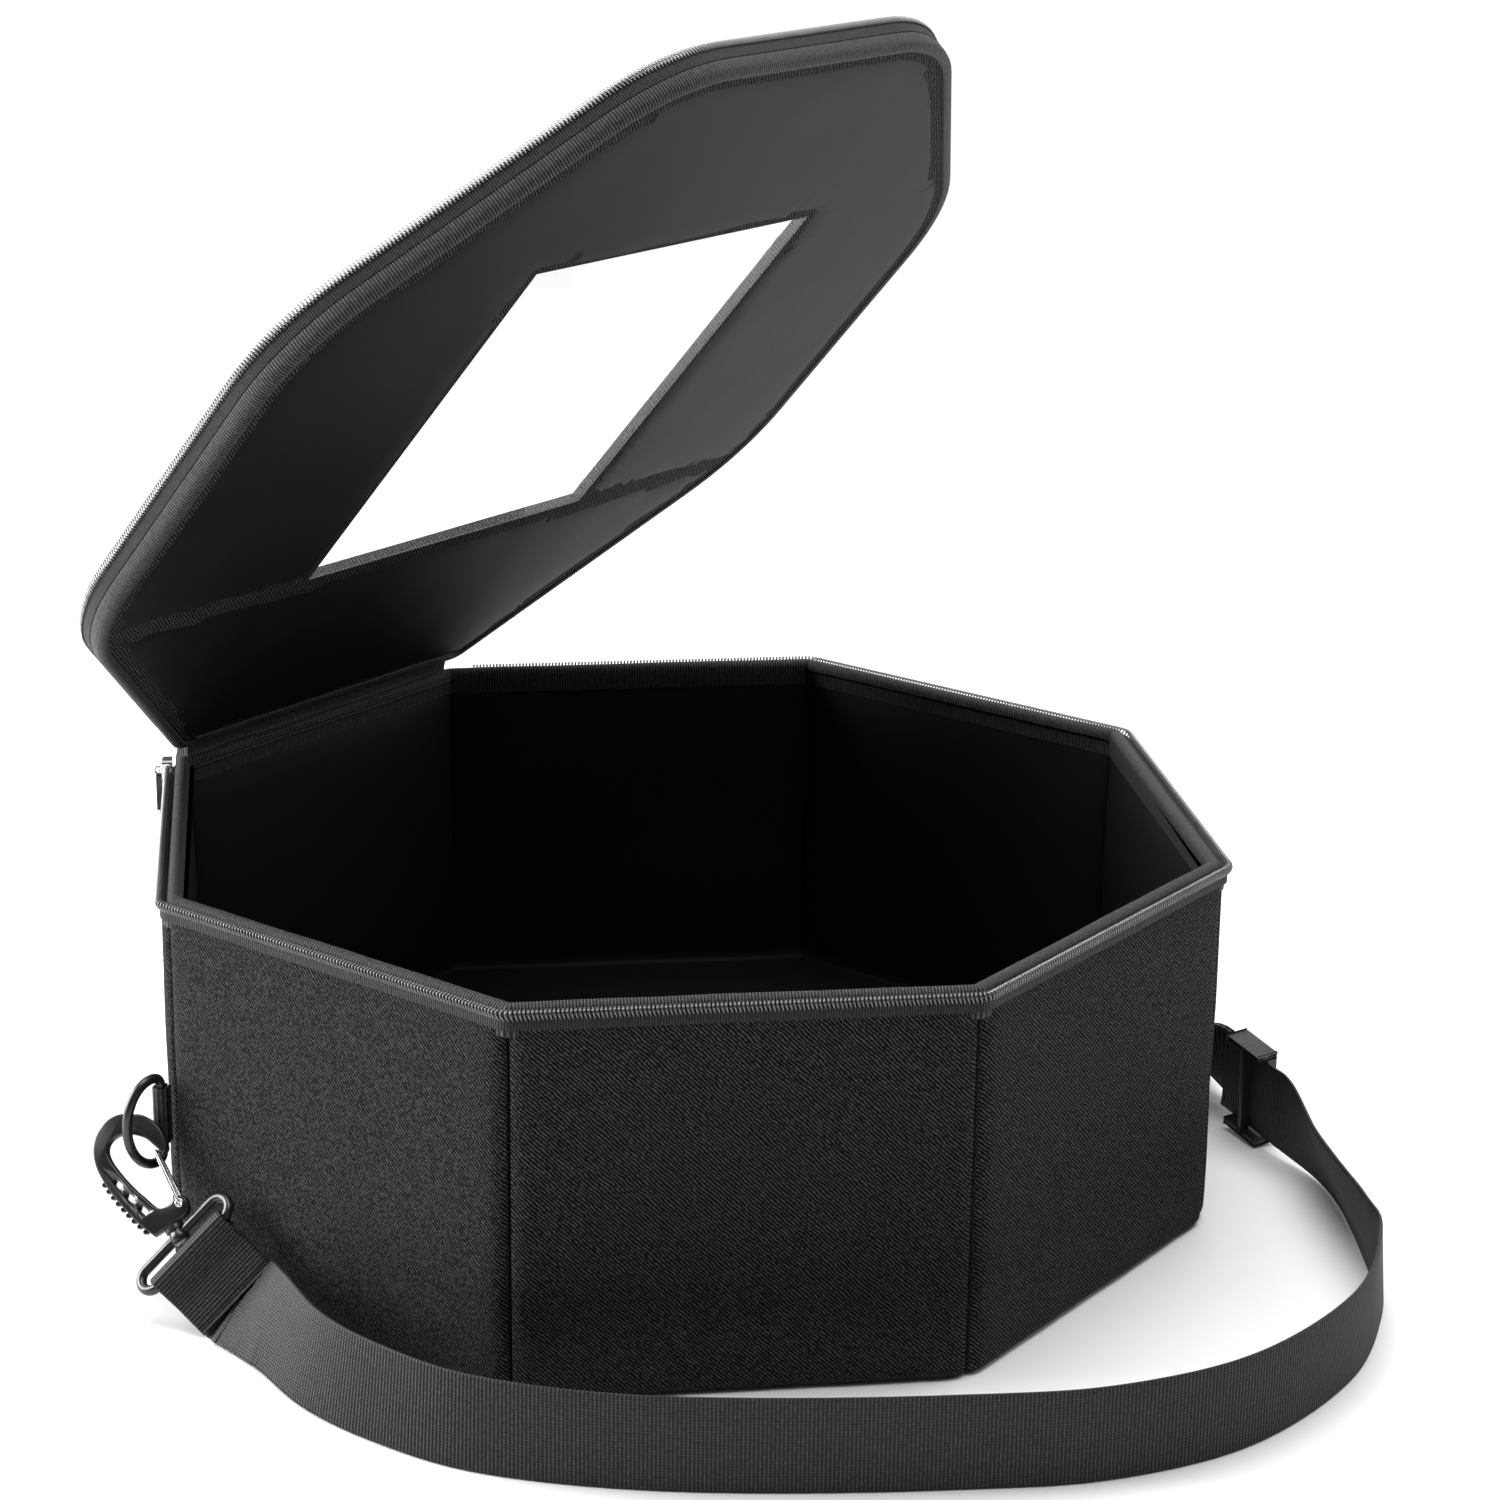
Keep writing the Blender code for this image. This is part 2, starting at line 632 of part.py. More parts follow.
def zip_pull(material):
    """The pull: a barrel on the slider's bar, and a tongue with a hole at its foot."""
    _, along, outwards = slider_frame()
    bar = staple_centre()
    half = STAPLE_HALF_WIDTH - STAPLE_WIRE - GAP
    barrel = rod(bar - along * half, bar + along * half, PULL_BARREL_RADIUS, 12)
    pull = finish_mesh("zip_pull", barrel, material, bar)
    tongue_top = -PULL_BARREL_RADIUS * 0.7
    tongue = oriented_block(bar, along, outwards, (-PULL_WIDTH / 2, PULL_WIDTH / 2),
                            (-PULL_LENGTH, tongue_top - GAP), (-PULL_THICKNESS / 2, PULL_THICKNESS / 2))
    neck = oriented_block(bar, along, outwards, (-half * 0.8, half * 0.8),
                          (tongue_top - STAPLE_WIRE * 2, tongue_top),
                          (-PULL_THICKNESS / 3, PULL_THICKNESS / 3))
    combine(pull, make_tool("pull_tongue", tongue), "UNION")
    combine(pull, make_tool("pull_neck", neck), "UNION")
    bore = rod(bar - along * BOX_WIDTH / 9, bar + along * BOX_WIDTH / 9, STAPLE_WIRE + GAP, 12)
    combine(pull, make_tool("pull_bore", bore), "DIFFERENCE")
    foot = bar - UP * (PULL_LENGTH - 2.2 * PULL_HOLE_RADIUS)
    hole = rod(foot - outwards * PULL_WIDTH, foot + outwards * PULL_WIDTH, PULL_HOLE_RADIUS, 12)
    combine(pull, make_tool("pull_hole", hole), "DIFFERENCE")
    return pull


# Corner fittings

class Corner:
    """A corner's frame: outwards, along the wall towards the strap, and up, from the floor."""

    def __init__(self, tag, index, hand):
        angle = -math.pi / 2 + SIDE_STEP * (index - 0.5)
        self.tag = tag
        self.hand = hand
        self.out = Vector((math.cos(angle), math.sin(angle), 0))
        self.along = Vector((-self.out.y, self.out.x, 0)) * hand
        self.origin = self.out * (HALF_WIDTH * CORNER_SHARE)

    def direction(self, parts):
        """A unit direction from its (out, along, up) parts."""
        return (self.out * parts[0] + self.along * parts[1] + UP * parts[2]).normalized()

    def swing(self):
        """Direction in which the ring stands out of its tab."""
        angle = math.radians(RING_SWING_DEG)
        return self.out * math.cos(angle) + self.along * math.sin(angle)


def corner_fittings():
    """The two corners that carry the strap, mirror images of each other across the box."""
    return Corner("front", 0, 1), Corner("back", SIDES // 2, -1)


def ring_point(corner, angle):
    """A point on the round side of the ring."""
    round_reach = RING_REACH - RING_CORNER
    out = RING_BAR_OUT + RING_CORNER + round_reach * math.cos(angle)
    height = RING_LEVEL + RING_HALF_HEIGHT * math.sin(angle)
    return corner.origin + corner.swing() * out + UP * height


def d_ring(corner, material):
    """A D of round wire, with its straight bar in the tab."""
    round_side = [ring_point(corner, math.radians(-90 + 10 * step)) for step in range(19)]
    bar = corner.origin + corner.swing() * RING_BAR_OUT
    centre = corner.origin + corner.swing() * (RING_BAR_OUT + RING_CORNER)
    points = list(round_side)
    for sign in (1, -1):
        middle = centre + UP * (RING_LEVEL + sign * (RING_HALF_HEIGHT - RING_CORNER))
        turns = (30, 60, 90) if sign > 0 else (90, 60, 30)
        for turn in turns:
            a = math.radians(turn)
            arm = UP * sign * math.cos(a) - corner.swing() * math.sin(a)
            points.append(middle + arm * RING_CORNER)
        if sign > 0:
            points.append(bar + UP * RING_LEVEL)
    return finish_mesh(f"d_ring_{corner.tag}", tube(points, RING_WIRE), material)


def ribbon(frames, thickness):
    """A flat band through frames of (centre, width direction, width)."""
    rings = []
    for index, (centre, across, width) in enumerate(frames):
        after = frames[min(index + 1, len(frames) - 1)][0]
        before = frames[max(index - 1, 0)][0]
        along = (after - before).normalized()
        square = (across - along * across.dot(along)).normalized()
        face = along.cross(square) * (thickness / 2)
        reach = square * (width / 2)
        rings.append([centre - reach - face, centre + reach - face,
                      centre + reach + face, centre - reach + face])
    return loft(rings)


def fold_path(start, run, face, length, bend, half_gap, ease):
    """Down one layer to a bar at the start point, round it, and back along the other layer."""
    steps = 5
    layer = []
    for step in range(steps):
        x = length * (1 - step / steps)
        share = min(1.0, x / ease)
        y = half_gap + (bend - half_gap) * (1 + math.cos(math.pi * share)) / 2
        layer.append((x, y))
    bow = []
    for step in range(7):
        a = math.pi / 2 + math.pi * step / 6
        bow.append((bend * math.cos(a), bend * math.sin(a)))
    back = [(x, -y) for x, y in reversed(layer)]
    return [start + run * x + face * y for x, y in layer + bow + back]


def webbing_tab(corner, material):
    """A fold of webbing sewn into the corner seam, round the ring's bar."""
    level = UP * (RING_LEVEL + TAB_RISE)
    bar = corner.origin + corner.swing() * RING_BAR_OUT + level
    root = corner.origin + corner.out * TAB_START + level
    run = (root - bar).normalized()
    face = UP.cross(run)
    bend = RING_WIRE + 2.4 * GAP + WEBBING_THICKNESS / 2
    half_gap = (WEBBING_THICKNESS + GAP) / 2
    length = (root - bar).length
    path = fold_path(bar, run, face, length, bend, half_gap, length)
    frames = [(point, UP, TAB_HEIGHT) for point in path]
    return finish_mesh(f"webbing_tab_{corner.tag}", ribbon(frames, WEBBING_THICKNESS), material)


# Snap hook

class HookFrame:
    """Where a hook hangs: up its length from the swivel, across towards the gate, and its face."""

    def __init__(self, corner):
        self.corner = corner
        self.up = corner.direction(HOOK_AXIS)
        face = corner.direction(HOOK_FACE)
        self.face = (face - self.up * face.dot(self.up)).normalized()
        self.across = self.up.cross(self.face) * corner.hand
        bearing = ring_point(corner, math.radians(HOOK_HANG_DEG))
        self.origin = (bearing - self.up * HOOK_LENGTH * HOOK_BEARING_SHARE
                       - self.across * HOOK_BEARING_ACROSS)

    def at(self, up, across, out=0.0):
        """A point by lengths in metres."""
        return self.origin + self.up * up + self.across * across + self.face * out

    def share(self, row, out=0.0):
        """A point by shares of the hook's length and width."""
        return self.at(row[0] * HOOK_LENGTH, row[1] * HOOK_WIDTH, out)


def clip_hook(frame, material):
    """The flat hook: outline, thumb slots, gate bore and swivel post."""
    half = HOOK_THICKNESS / 2
    outline = [(row["up"], row["across"]) for row in HOOK_OUTLINE]
    rings = [[frame.share(row, out) for row in outline] for out in (-half, half)]
    builder = loft(rings)
    rim_edges = [edge for edge in builder.edges
                 if abs((edge.verts[0].co - edge.verts[1].co).dot(frame.face)) < half]
    bmesh.ops.bevel(builder, geom=rim_edges, offset=HOOK_THICKNESS * 0.2, segments=1,
                    profile=0.5, affect="EDGES")
    name = f"clip_hook_{frame.corner.tag}"
    hook = finish_mesh(name, builder, material, frame.origin)
    for number, row in enumerate(HOOK_SLOTS):
        middle = (row["up"] * HOOK_LENGTH, row["across"] * HOOK_WIDTH)
        slot = slot_block(frame, middle, HOOK_THICKNESS)
        combine(hook, make_tool(f"{name}_slot_{number}", slot), "DIFFERENCE")
    pivot = gate_pivot(frame)
    bore_radius = GATE_WIRE + GATE_BORE_CLEARANCE
    bore = rod(pivot - frame.face * HOOK_THICKNESS, pivot + frame.face * HOOK_THICKNESS, bore_radius)
    combine(hook, make_tool(f"{name}_bore", bore), "DIFFERENCE")
    base = HOOK_BASE_SHARE * HOOK_LENGTH
    post = rod(frame.at(base - SWIVEL_SOCKET_DEPTH, 0), frame.at(base + HOOK_THICKNESS / 2, 0),
               SWIVEL_POST_RADIUS)
    combine(hook, make_tool(f"{name}_post", post), "UNION")
    return hook


def slot_block(frame, middle, depth):
    """A slot along the hook's spine."""
    lean = math.radians(17)
    length = HOOK_SLOT_LENGTH / 2
    width = HOOK_SLOT_WIDTH / 2
    corners = ((-length, -width), (length, -width), (length, width), (-length, width))
    rings = []
    for out in (-depth, depth):
        ring = []
        for a, b in corners:
            up = middle[0] + a * math.cos(lean) + b * math.sin(lean)
            across = middle[1] - a * math.sin(lean) + b * math.cos(lean)
            ring.append(frame.at(up, across, out))
        rings.append(ring)
    return loft(rings)


def gate_pivot(frame):
    """The gate's pin, in the hook's base."""
    return frame.share(GATE_PIVOT_SHARE)


def clip_gate(frame, material):
    """The sprung wire gate: a loop whose foot is its own hinge pin."""
    foot = HOOK_THICKNESS / 2 + GAP + GATE_WIRE
    corners = [
        frame.share(GATE_TIP_SHARE, GATE_TIP_HALF_WIDTH), frame.share(GATE_TIP_SHARE, -GATE_TIP_HALF_WIDTH),
        frame.share(GATE_PIVOT_SHARE, -foot), frame.share(GATE_PIVOT_SHARE, foot),
    ]
    points = rounded_run(corners, GATE_WIRE * 1.1, 4)
    name = f"clip_gate_{frame.corner.tag}"
    return finish_mesh(name, tube(points, GATE_WIRE, 8), material, gate_pivot(frame))


# Strap loop

class LoopFrame:
    """The oval loop that the hook swivels on and the strap is sewn round."""

    def __init__(self, hook):
        corner = hook.corner
        self.corner = corner
        self.across = corner.direction(LOOP_ACROSS)
        towards = corner.direction(LOOP_TOWARDS_STRAP)
        self.towards = (towards - self.across * towards.dot(self.across)).normalized()
        self.boss_top = hook.at(HOOK_BASE_SHARE * HOOK_LENGTH - GAP, 0)
        self.boss_foot = self.boss_top - hook.up * SWIVEL_BOSS_LENGTH
        self.hook_bar = self.boss_top - hook.up * (SWIVEL_BOSS_LENGTH * 0.62)
        self.strap_bar = self.hook_bar + self.towards * LOOP_SPACING


def clip_loop(hook, loop, material):
    """An oval of round wire, with the swivel's socketed boss on one long side."""
    half = LOOP_LENGTH / 2 - LOOP_WIRE
    side = LOOP_SPACING / 2
    centre = loop.hook_bar + loop.towards * side
    straight = half - side
    points = []
    for sign in (1, -1):
        for step in range(7):
            a = math.pi * step / 6
            arm = loop.towards * math.cos(a) * side * sign + loop.across * math.sin(a) * side * sign
            points.append(centre + loop.across * straight * sign + arm)
    name = f"clip_loop_{loop.corner.tag}"
    wire = finish_mesh(name, tube(points, LOOP_WIRE), material)
    boss = rod(loop.boss_top, loop.boss_foot, SWIVEL_BOSS_RADIUS, 16)
    combine(wire, make_tool(f"{name}_boss", boss), "UNION")
    socket_foot = loop.boss_top - hook.up * (SWIVEL_SOCKET_DEPTH + SWIVEL_CLEARANCE)
    socket_top = loop.boss_top + hook.up * SWIVEL_SOCKET_DEPTH
    socket = rod(socket_foot, socket_top, SWIVEL_POST_RADIUS + SWIVEL_CLEARANCE)
    combine(wire, make_tool(f"{name}_socket", socket), "DIFFERENCE")
    return wire


# Strap

def strap_end(loop, run_parts):
    """The sewn end round a loop: its points from the tail inwards, and its directions."""
    corner = loop.corner
    across = loop.across
    run = corner.direction(run_parts)
    run = (run - across * run.dot(across)).normalized()
    face = run.cross(across) * corner.hand
    bend = LOOP_WIRE + 1.8 * GAP + WEBBING_THICKNESS / 2
    half_gap = (WEBBING_THICKNESS + STRAP_LAYER_GAP) / 2
    path = fold_path(loop.strap_bar, run, face, STRAP_SEWN_LENGTH, bend, half_gap,
                     STRAP_SEWN_LENGTH / 2)
    return path, across, face


def route_rows():
    """The strap's floor stations: centre of the webbing and its width direction."""
    feet = []
    for row in STRAP_ROUTE:
        heading = math.radians(row["heading"])
        reach = row["reach"] * HALF_WIDTH
        lift = row["lift"] * STRAP_WIDTH + abs(math.sin(math.radians(row["lean"]))) * WEBBING_THICKNESS
        feet.append(Vector((math.cos(heading) * reach, math.sin(heading) * reach, lift)))
    stations = []
    for index, foot in enumerate(feet):
        along = feet[min(index + 1, len(feet) - 1)] - feet[max(index - 1, 0)]
        inwards = UP.cross(along).normalized()
        lean = math.radians(STRAP_ROUTE[index]["lean"])
        across = UP * math.cos(lean) + inwards * math.sin(lean)
        centre = foot + across * STRAP_WIDTH / 2
        if index == ADJUSTER_ROW:
            straight = along.normalized() * ADJUSTER_LENGTH * 0.55
            stations += [(centre + straight * step, across) for step in (-2, -1, 1, 2)]
        else:
            stations.append((centre, across))
    return stations


def smooth_between(before, start, end, after, share):
    """A point of the smooth curve through four stations."""
    return 0.5 * (
        2 * start + (end - before) * share
        + (2 * before - 5 * start + 4 * end - after) * share ** 2
        + (3 * start - before - 3 * end + after) * share ** 3
    )


def rest_on_floor(centre, across):
    """Lift a section of the webbing until its lowest edge clears the floor."""
    dip = abs(across.z) * STRAP_WIDTH / 2
    dip += math.sqrt(max(0.0, 1 - across.z ** 2)) * WEBBING_THICKNESS / 2
    return centre + UP * max(0.0, dip - centre.z)


def smooth_run(stations):
    """Frames between the second station and the last but one."""
    frames = []
    for index in range(1, len(stations) - 2):
        four = stations[index - 1:index + 3]
        for step in range(ROUTE_STEPS):
            share = step / ROUTE_STEPS
            centre = smooth_between(*(s[0] for s in four), share)
            across = smooth_between(*(s[1] for s in four), share).normalized()
            frames.append((rest_on_floor(centre, across), across))
    frames.append(stations[-2])
    return frames


def adjuster_seat(rows):
    """Middle of the straight stretch that the adjuster sits on."""
    return (rows[ADJUSTER_ROW + 1][0] + rows[ADJUSTER_ROW + 2][0]) / 2


def strap_frames(front_loop, back_loop):
    """The whole webbing: front tail, fold, floor run, back fold, and the tail to the adjuster."""
    front, front_across, _ = strap_end(front_loop, STRAP_RUN_FRONT)
    back, back_across, back_face = strap_end(back_loop, STRAP_RUN_BACK)
    rows = route_rows()
    stations = [(front[-3], front_across), (front[-1], front_across)] + rows
    stations += [(back[-1], back_across), (back[-3], back_across)]
    run = smooth_run(stations)
    frames = [(point, front_across) for point in front[:-1]] + run
    frames += [(point, back_across) for point in reversed(back[:-1])]
    layer = WEBBING_THICKNESS + STRAP_LAYER_GAP
    second = []
    adjuster = run.index(min(run, key=lambda frame: (frame[0] - adjuster_seat(rows)).length))
    for index in range(len(run) - 2, adjuster, -1):
        if (run[index][0] - run[adjuster][0]).length < ADJUSTER_LENGTH / 2 + 6 * GAP:
            break
        along = (run[index + 1][0] - run[index - 1][0]).normalized()
        face = run[index][1].cross(along).normalized()
        if face.dot(back_face) < 0:
            face = -face
        second.append((run[index][0] + face * layer, run[index][1]))
    return frames + second, run[adjuster], (run[adjuster + 1][0] - run[adjuster - 1][0]).normalized()


def strap(front_loop, back_loop, materials):
    """The webbing, and the adjuster that it passes through."""
    frames, seat, along = strap_frames(front_loop, back_loop)
    banded = [(centre, across, STRAP_WIDTH) for centre, across in frames]
    finish_mesh("shoulder_strap", ribbon(banded, WEBBING_THICKNESS), materials["webbing"])
    slide_adjuster(seat, along, materials["plastic"])


def slide_adjuster(seat, along, material):
    """Two rails beyond the webbing's edges, joined by bars before and behind it."""
    centre, across = seat
    across = (across - along * across.dot(along)).normalized()
    face = along.cross(across)
    rail_at = STRAP_WIDTH / 2 + ADJUSTER_CLEARANCE + ADJUSTER_RAIL / 2
    bar_at = WEBBING_THICKNESS / 2 + ADJUSTER_CLEARANCE + ADJUSTER_BAR / 2
    half_face = bar_at + ADJUSTER_BAR / 2
    half_length = ADJUSTER_LENGTH / 2

    def block(along_mid, along_half, across_mid, across_half, face_mid, face_half):
        rings = []
        for a in (along_mid - along_half, along_mid + along_half):
            flat = ((-1, -1), (1, -1), (1, 1), (-1, 1))
            rings.append([
                centre + along * a + across * (across_mid + u * across_half)
                + face * (face_mid + v * face_half) for u, v in flat
            ])
        return loft(rings)

    rail = block(0, half_length, rail_at, ADJUSTER_RAIL / 2, 0, half_face)
    adjuster = finish_mesh("strap_adjuster", rail, material, centre)
    other = block(0, half_length, -rail_at, ADJUSTER_RAIL / 2, 0, half_face)
    bars = ((-1, 1), (0, -1), (1, 1))
    for number, (place, side) in enumerate(bars):
        middle = place * (half_length - ADJUSTER_BAR / 2)
        bar = block(middle, ADJUSTER_BAR / 2, 0, rail_at + ADJUSTER_RAIL / 4,
                    side * bar_at, ADJUSTER_BAR / 2 - GAP)
        combine(adjuster, make_tool(f"adjuster_bar_{number}", bar), "UNION")
    combine(adjuster, make_tool("adjuster_rail", other), "UNION")


# Assembly

def clear_scene():
    """Start from an empty scene."""
    for thing in list(bpy.data.objects):
        bpy.data.objects.remove(thing, do_unlink=True)


def build_box(materials):
    """Walls, floor, lining, rim and zip."""
    for side in range(SIDES):
        wall_panel(side, materials["cloth"])
    base_panel(materials["cloth"])
    box_lining(materials["lining"])
    rim_binding(materials["binding"])
    box_zip(materials)
    hinge_roll(materials["binding"])
    zip_slider(materials["steel"])
    zip_pull(materials["black_metal"])


def build_lid(materials):
    """Everything that swings with the lid."""
    pivot = lid_pivot()
    lid_layers(materials, pivot)
    lid_edge(materials, pivot)


def build_strap(materials):
    """Both corner fittings, and the strap between them."""
    loops = []
    for corner in corner_fittings():
        webbing_tab(corner, materials["webbing"])
        d_ring(corner, materials["black_metal"])
        hook = HookFrame(corner)
        loop = LoopFrame(hook)
        clip_hook(hook, materials["black_metal"])
        clip_gate(hook, materials["steel"])
        clip_loop(hook, loop, materials["black_metal"])
        loops.append(loop)
    strap(loops[0], loops[1], materials)


def main():
    """Build the whole hat box."""
    clear_scene()
    materials = make_materials()
    build_box(materials)
    build_lid(materials)
    build_strap(materials)


main()
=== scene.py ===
"""Looks of the hat box: padded cloth panels, real zip teeth, ribbed binding and webbing."""
import json
import math

import bmesh
import bpy
from mathutils import Matrix, Vector, noise

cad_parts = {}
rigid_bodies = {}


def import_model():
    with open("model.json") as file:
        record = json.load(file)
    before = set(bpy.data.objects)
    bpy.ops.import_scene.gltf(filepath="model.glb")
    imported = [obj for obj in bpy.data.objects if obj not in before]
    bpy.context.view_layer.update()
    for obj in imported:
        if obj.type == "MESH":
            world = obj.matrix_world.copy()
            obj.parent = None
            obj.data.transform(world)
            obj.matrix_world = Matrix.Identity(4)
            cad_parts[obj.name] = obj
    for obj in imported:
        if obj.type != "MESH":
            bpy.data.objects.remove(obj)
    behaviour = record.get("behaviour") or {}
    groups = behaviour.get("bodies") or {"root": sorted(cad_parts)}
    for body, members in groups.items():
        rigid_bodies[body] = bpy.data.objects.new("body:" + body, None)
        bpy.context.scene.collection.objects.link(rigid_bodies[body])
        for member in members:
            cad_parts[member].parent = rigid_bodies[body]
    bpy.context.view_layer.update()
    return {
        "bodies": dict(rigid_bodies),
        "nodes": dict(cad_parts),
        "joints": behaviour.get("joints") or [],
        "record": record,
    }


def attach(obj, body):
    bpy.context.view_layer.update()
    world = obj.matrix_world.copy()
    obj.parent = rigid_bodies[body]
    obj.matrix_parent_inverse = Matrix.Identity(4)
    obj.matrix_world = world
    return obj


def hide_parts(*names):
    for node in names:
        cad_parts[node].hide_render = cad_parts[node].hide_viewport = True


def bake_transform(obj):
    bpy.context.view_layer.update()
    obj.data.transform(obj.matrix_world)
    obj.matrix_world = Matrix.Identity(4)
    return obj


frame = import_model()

# Sizes shared with the CAD
HALF_WIDTH = 0.225
WALL_HEIGHT = 0.1565
WALL_THICKNESS = 0.007
GAP = 0.0003
RIM_HEIGHT = 0.168
RIM_CORNER_RADIUS = 0.009
ZIP_END_INSET = 0.010
LID_OPENING_DEG = 48.8
HINGE_INSET = 0.0034
HINGE_RISE = 0.0035
HINGE_ROLL_RADIUS = 0.0031
HINGE_CLEARANCE = 0.0005
LID_EDGE_INSET = 0.0031
LID_REST_GAP = 0.0006
LID_THICKNESS = 0.0088
LID_CORNER_RADIUS = 0.085
LID_HINGE_CORNER_RADIUS = 0.012
LID_TAPE_HEIGHT = 0.0055
WINDOW_START = 0.130
WINDOW_LENGTH = 0.201
WINDOW_WIDTH = 0.184
SEAM_AT = 0.1285

SIDES = 8
SIDE_STEP = 2 * math.pi / SIDES
HALF_TURN = math.tan(SIDE_STEP / 2)
HINGE_SIDE = 6
UP = Vector((0, 0, 1))

# Looks only
TEETH_PITCH = 0.00165
TOOTH_WIRE = 0.00044
BINDING_CREST = 0.1691
PANEL_TOP = 0.1643
RIB_PITCH = 0.0013
STRAP_RIB_PITCH = 0.0016
STRAP_RIB_DEPTH = 0.00036
CORNER_SHARE = 1 / math.cos(SIDE_STEP / 2)

TAB_HEIGHT = 0.026
WEBBING_THICKNESS = 0.0015
TAB_START = 0.0
TAB_RISE = 0.0018
RING_WIRE = 0.0021
RING_BAR_OUT = 0.0042
RING_REACH = 0.0178
RING_HALF_HEIGHT = 0.0191
RING_CORNER = 0.004
RING_LEVEL = 0.0720
RING_SWING_DEG = 16.0

# Snap hook; its outline runs up its length from the swivel, and across towards the gate
HOOK_LENGTH = 0.0565
HOOK_WIDTH = 0.0315
HOOK_THICKNESS = 0.0046
HOOK_HANG_DEG = -34.0
HOOK_BEARING_SHARE = 0.692
HOOK_BEARING_ACROSS = 0.001
HOOK_AXIS = (0.200, -0.740, 0.642)
HOOK_FACE = (0.571, 0.621, 0.538)
GATE_WIRE = 0.0008
GATE_PIVOT_SHARE = (0.152, 0.245)
GATE_TIP_SHARE = (0.593, 0.305)
GATE_TIP_HALF_WIDTH = 0.0022
SWIVEL_POST_RADIUS = 0.0017
SWIVEL_BOSS_LENGTH = 0.0078
SWIVEL_SOCKET_DEPTH = 0.0020
HOOK_BASE_SHARE = 0.053

# Strap loop, and the strap's webbing
LOOP_WIRE = 0.0022
LOOP_LENGTH = 0.054
LOOP_SPACING = 0.0108
LOOP_ACROSS = (-0.709, 0.137, 0.691)
LOOP_TOWARDS_STRAP = (-0.100, 0.951, -0.293)
STRAP_WIDTH = 0.040
STRAP_SEWN_LENGTH = 0.028
STRAP_LAYER_GAP = 0.0004
STRAP_RUN_FRONT = (-0.468, 0.642, -0.530)
STRAP_RUN_BACK = (-0.420, 0.880, -0.150)

# Slide adjuster
ADJUSTER_LENGTH = 0.024
ADJUSTER_BAR = 0.0030
ADJUSTER_RAIL = 0.0028
ADJUSTER_CLEARANCE = 0.0009

# The strap's lower edge on the floor: heading round the box, reach and lift as shares of the
# half box width and of the webbing's width, and how far the webbing leans in towards the box.
STRAP_ROUTE = (
    {"heading": 268.5, "reach": 1.181, "lift": 0.00, "lean": 24},
    {"heading": 276.3, "reach": 1.238, "lift": 0.00, "lean": 14},
    {"heading": 283.5, "reach": 1.277, "lift": 0.00, "lean": 8},
    {"heading": 292.4, "reach": 1.314, "lift": 0.00, "lean": 3},
    {"heading": 302.8, "reach": 1.326, "lift": 0.00, "lean": 0},
    {"heading": 314.4, "reach": 1.345, "lift": 0.00, "lean": 0},
    {"heading": 328.1, "reach": 1.407, "lift": 0.00, "lean": 0},
    {"heading": 338.4, "reach": 1.488, "lift": 0.00, "lean": 0},
    {"heading": 348.9, "reach": 1.538, "lift": 0.00, "lean": 0},
    {"heading": 360.7, "reach": 1.530, "lift": 0.00, "lean": 0},
    {"heading": 370.9, "reach": 1.479, "lift": 0.00, "lean": 4},
    {"heading": 375.8, "reach": 1.432, "lift": 0.00, "lean": 8},
    {"heading": 382.2, "reach": 1.378, "lift": 0.00, "lean": 16},
    {"heading": 388.4, "reach": 1.337, "lift": 0.00, "lean": 20},
    {"heading": 393.1, "reach": 1.300, "lift": 0.01, "lean": 16},
    {"heading": 402.3, "reach": 1.196, "lift": 0.14, "lean": 5},
)
ADJUSTER_ROW = 15
ROUTE_STEPS = 5

# Outline of the hook as shares of its length and its width
HOOK_OUTLINE = (
    {"up": 0.053, "across": -0.270},
    {"up": 0.177, "across": -0.359},
    {"up": 0.319, "across": -0.419},
    {"up": 0.478, "across": -0.470},
    {"up": 0.619, "across": -0.492},
    {"up": 0.743, "across": -0.479},
    {"up": 0.857, "across": -0.413},
    {"up": 0.949, "across": -0.276},
    {"up": 1.000, "across": -0.063},
    {"up": 0.990, "across": 0.127},
    {"up": 0.935, "across": 0.286},
    {"up": 0.874, "across": 0.413},
    {"up": 0.754, "across": 0.508},
    {"up": 0.637, "across": 0.508},
    {"up": 0.552, "across": 0.450},
    {"up": 0.540, "across": 0.372},
    {"up": 0.584, "across": 0.356},
    {"up": 0.646, "across": 0.324},
    {"up": 0.712, "across": 0.285},
    {"up": 0.782, "across": 0.190},
    {"up": 0.838, "across": 0.057},
    {"up": 0.852, "across": -0.111},
    {"up": 0.815, "across": -0.222},
    {"up": 0.743, "across": -0.262},
    {"up": 0.637, "across": -0.251},
    {"up": 0.478, "across": -0.200},
    {"up": 0.354, "across": -0.133},
    {"up": 0.221, "across": -0.048},
    {"up": 0.191, "across": 0.095},
    {"up": 0.212, "across": 0.206},
    {"up": 0.204, "across": 0.302},
    {"up": 0.150, "across": 0.343},
    {"up": 0.088, "across": 0.302},
    {"up": 0.053, "across": 0.190},
)
HOOK_SLOTS = (
    {"up": 0.265, "across": -0.222},
    {"up": 0.403, "across": -0.292},
    {"up": 0.538, "across": -0.338},
)
HOOK_SLOT_LENGTH = 0.0052
HOOK_SLOT_WIDTH = 0.0030

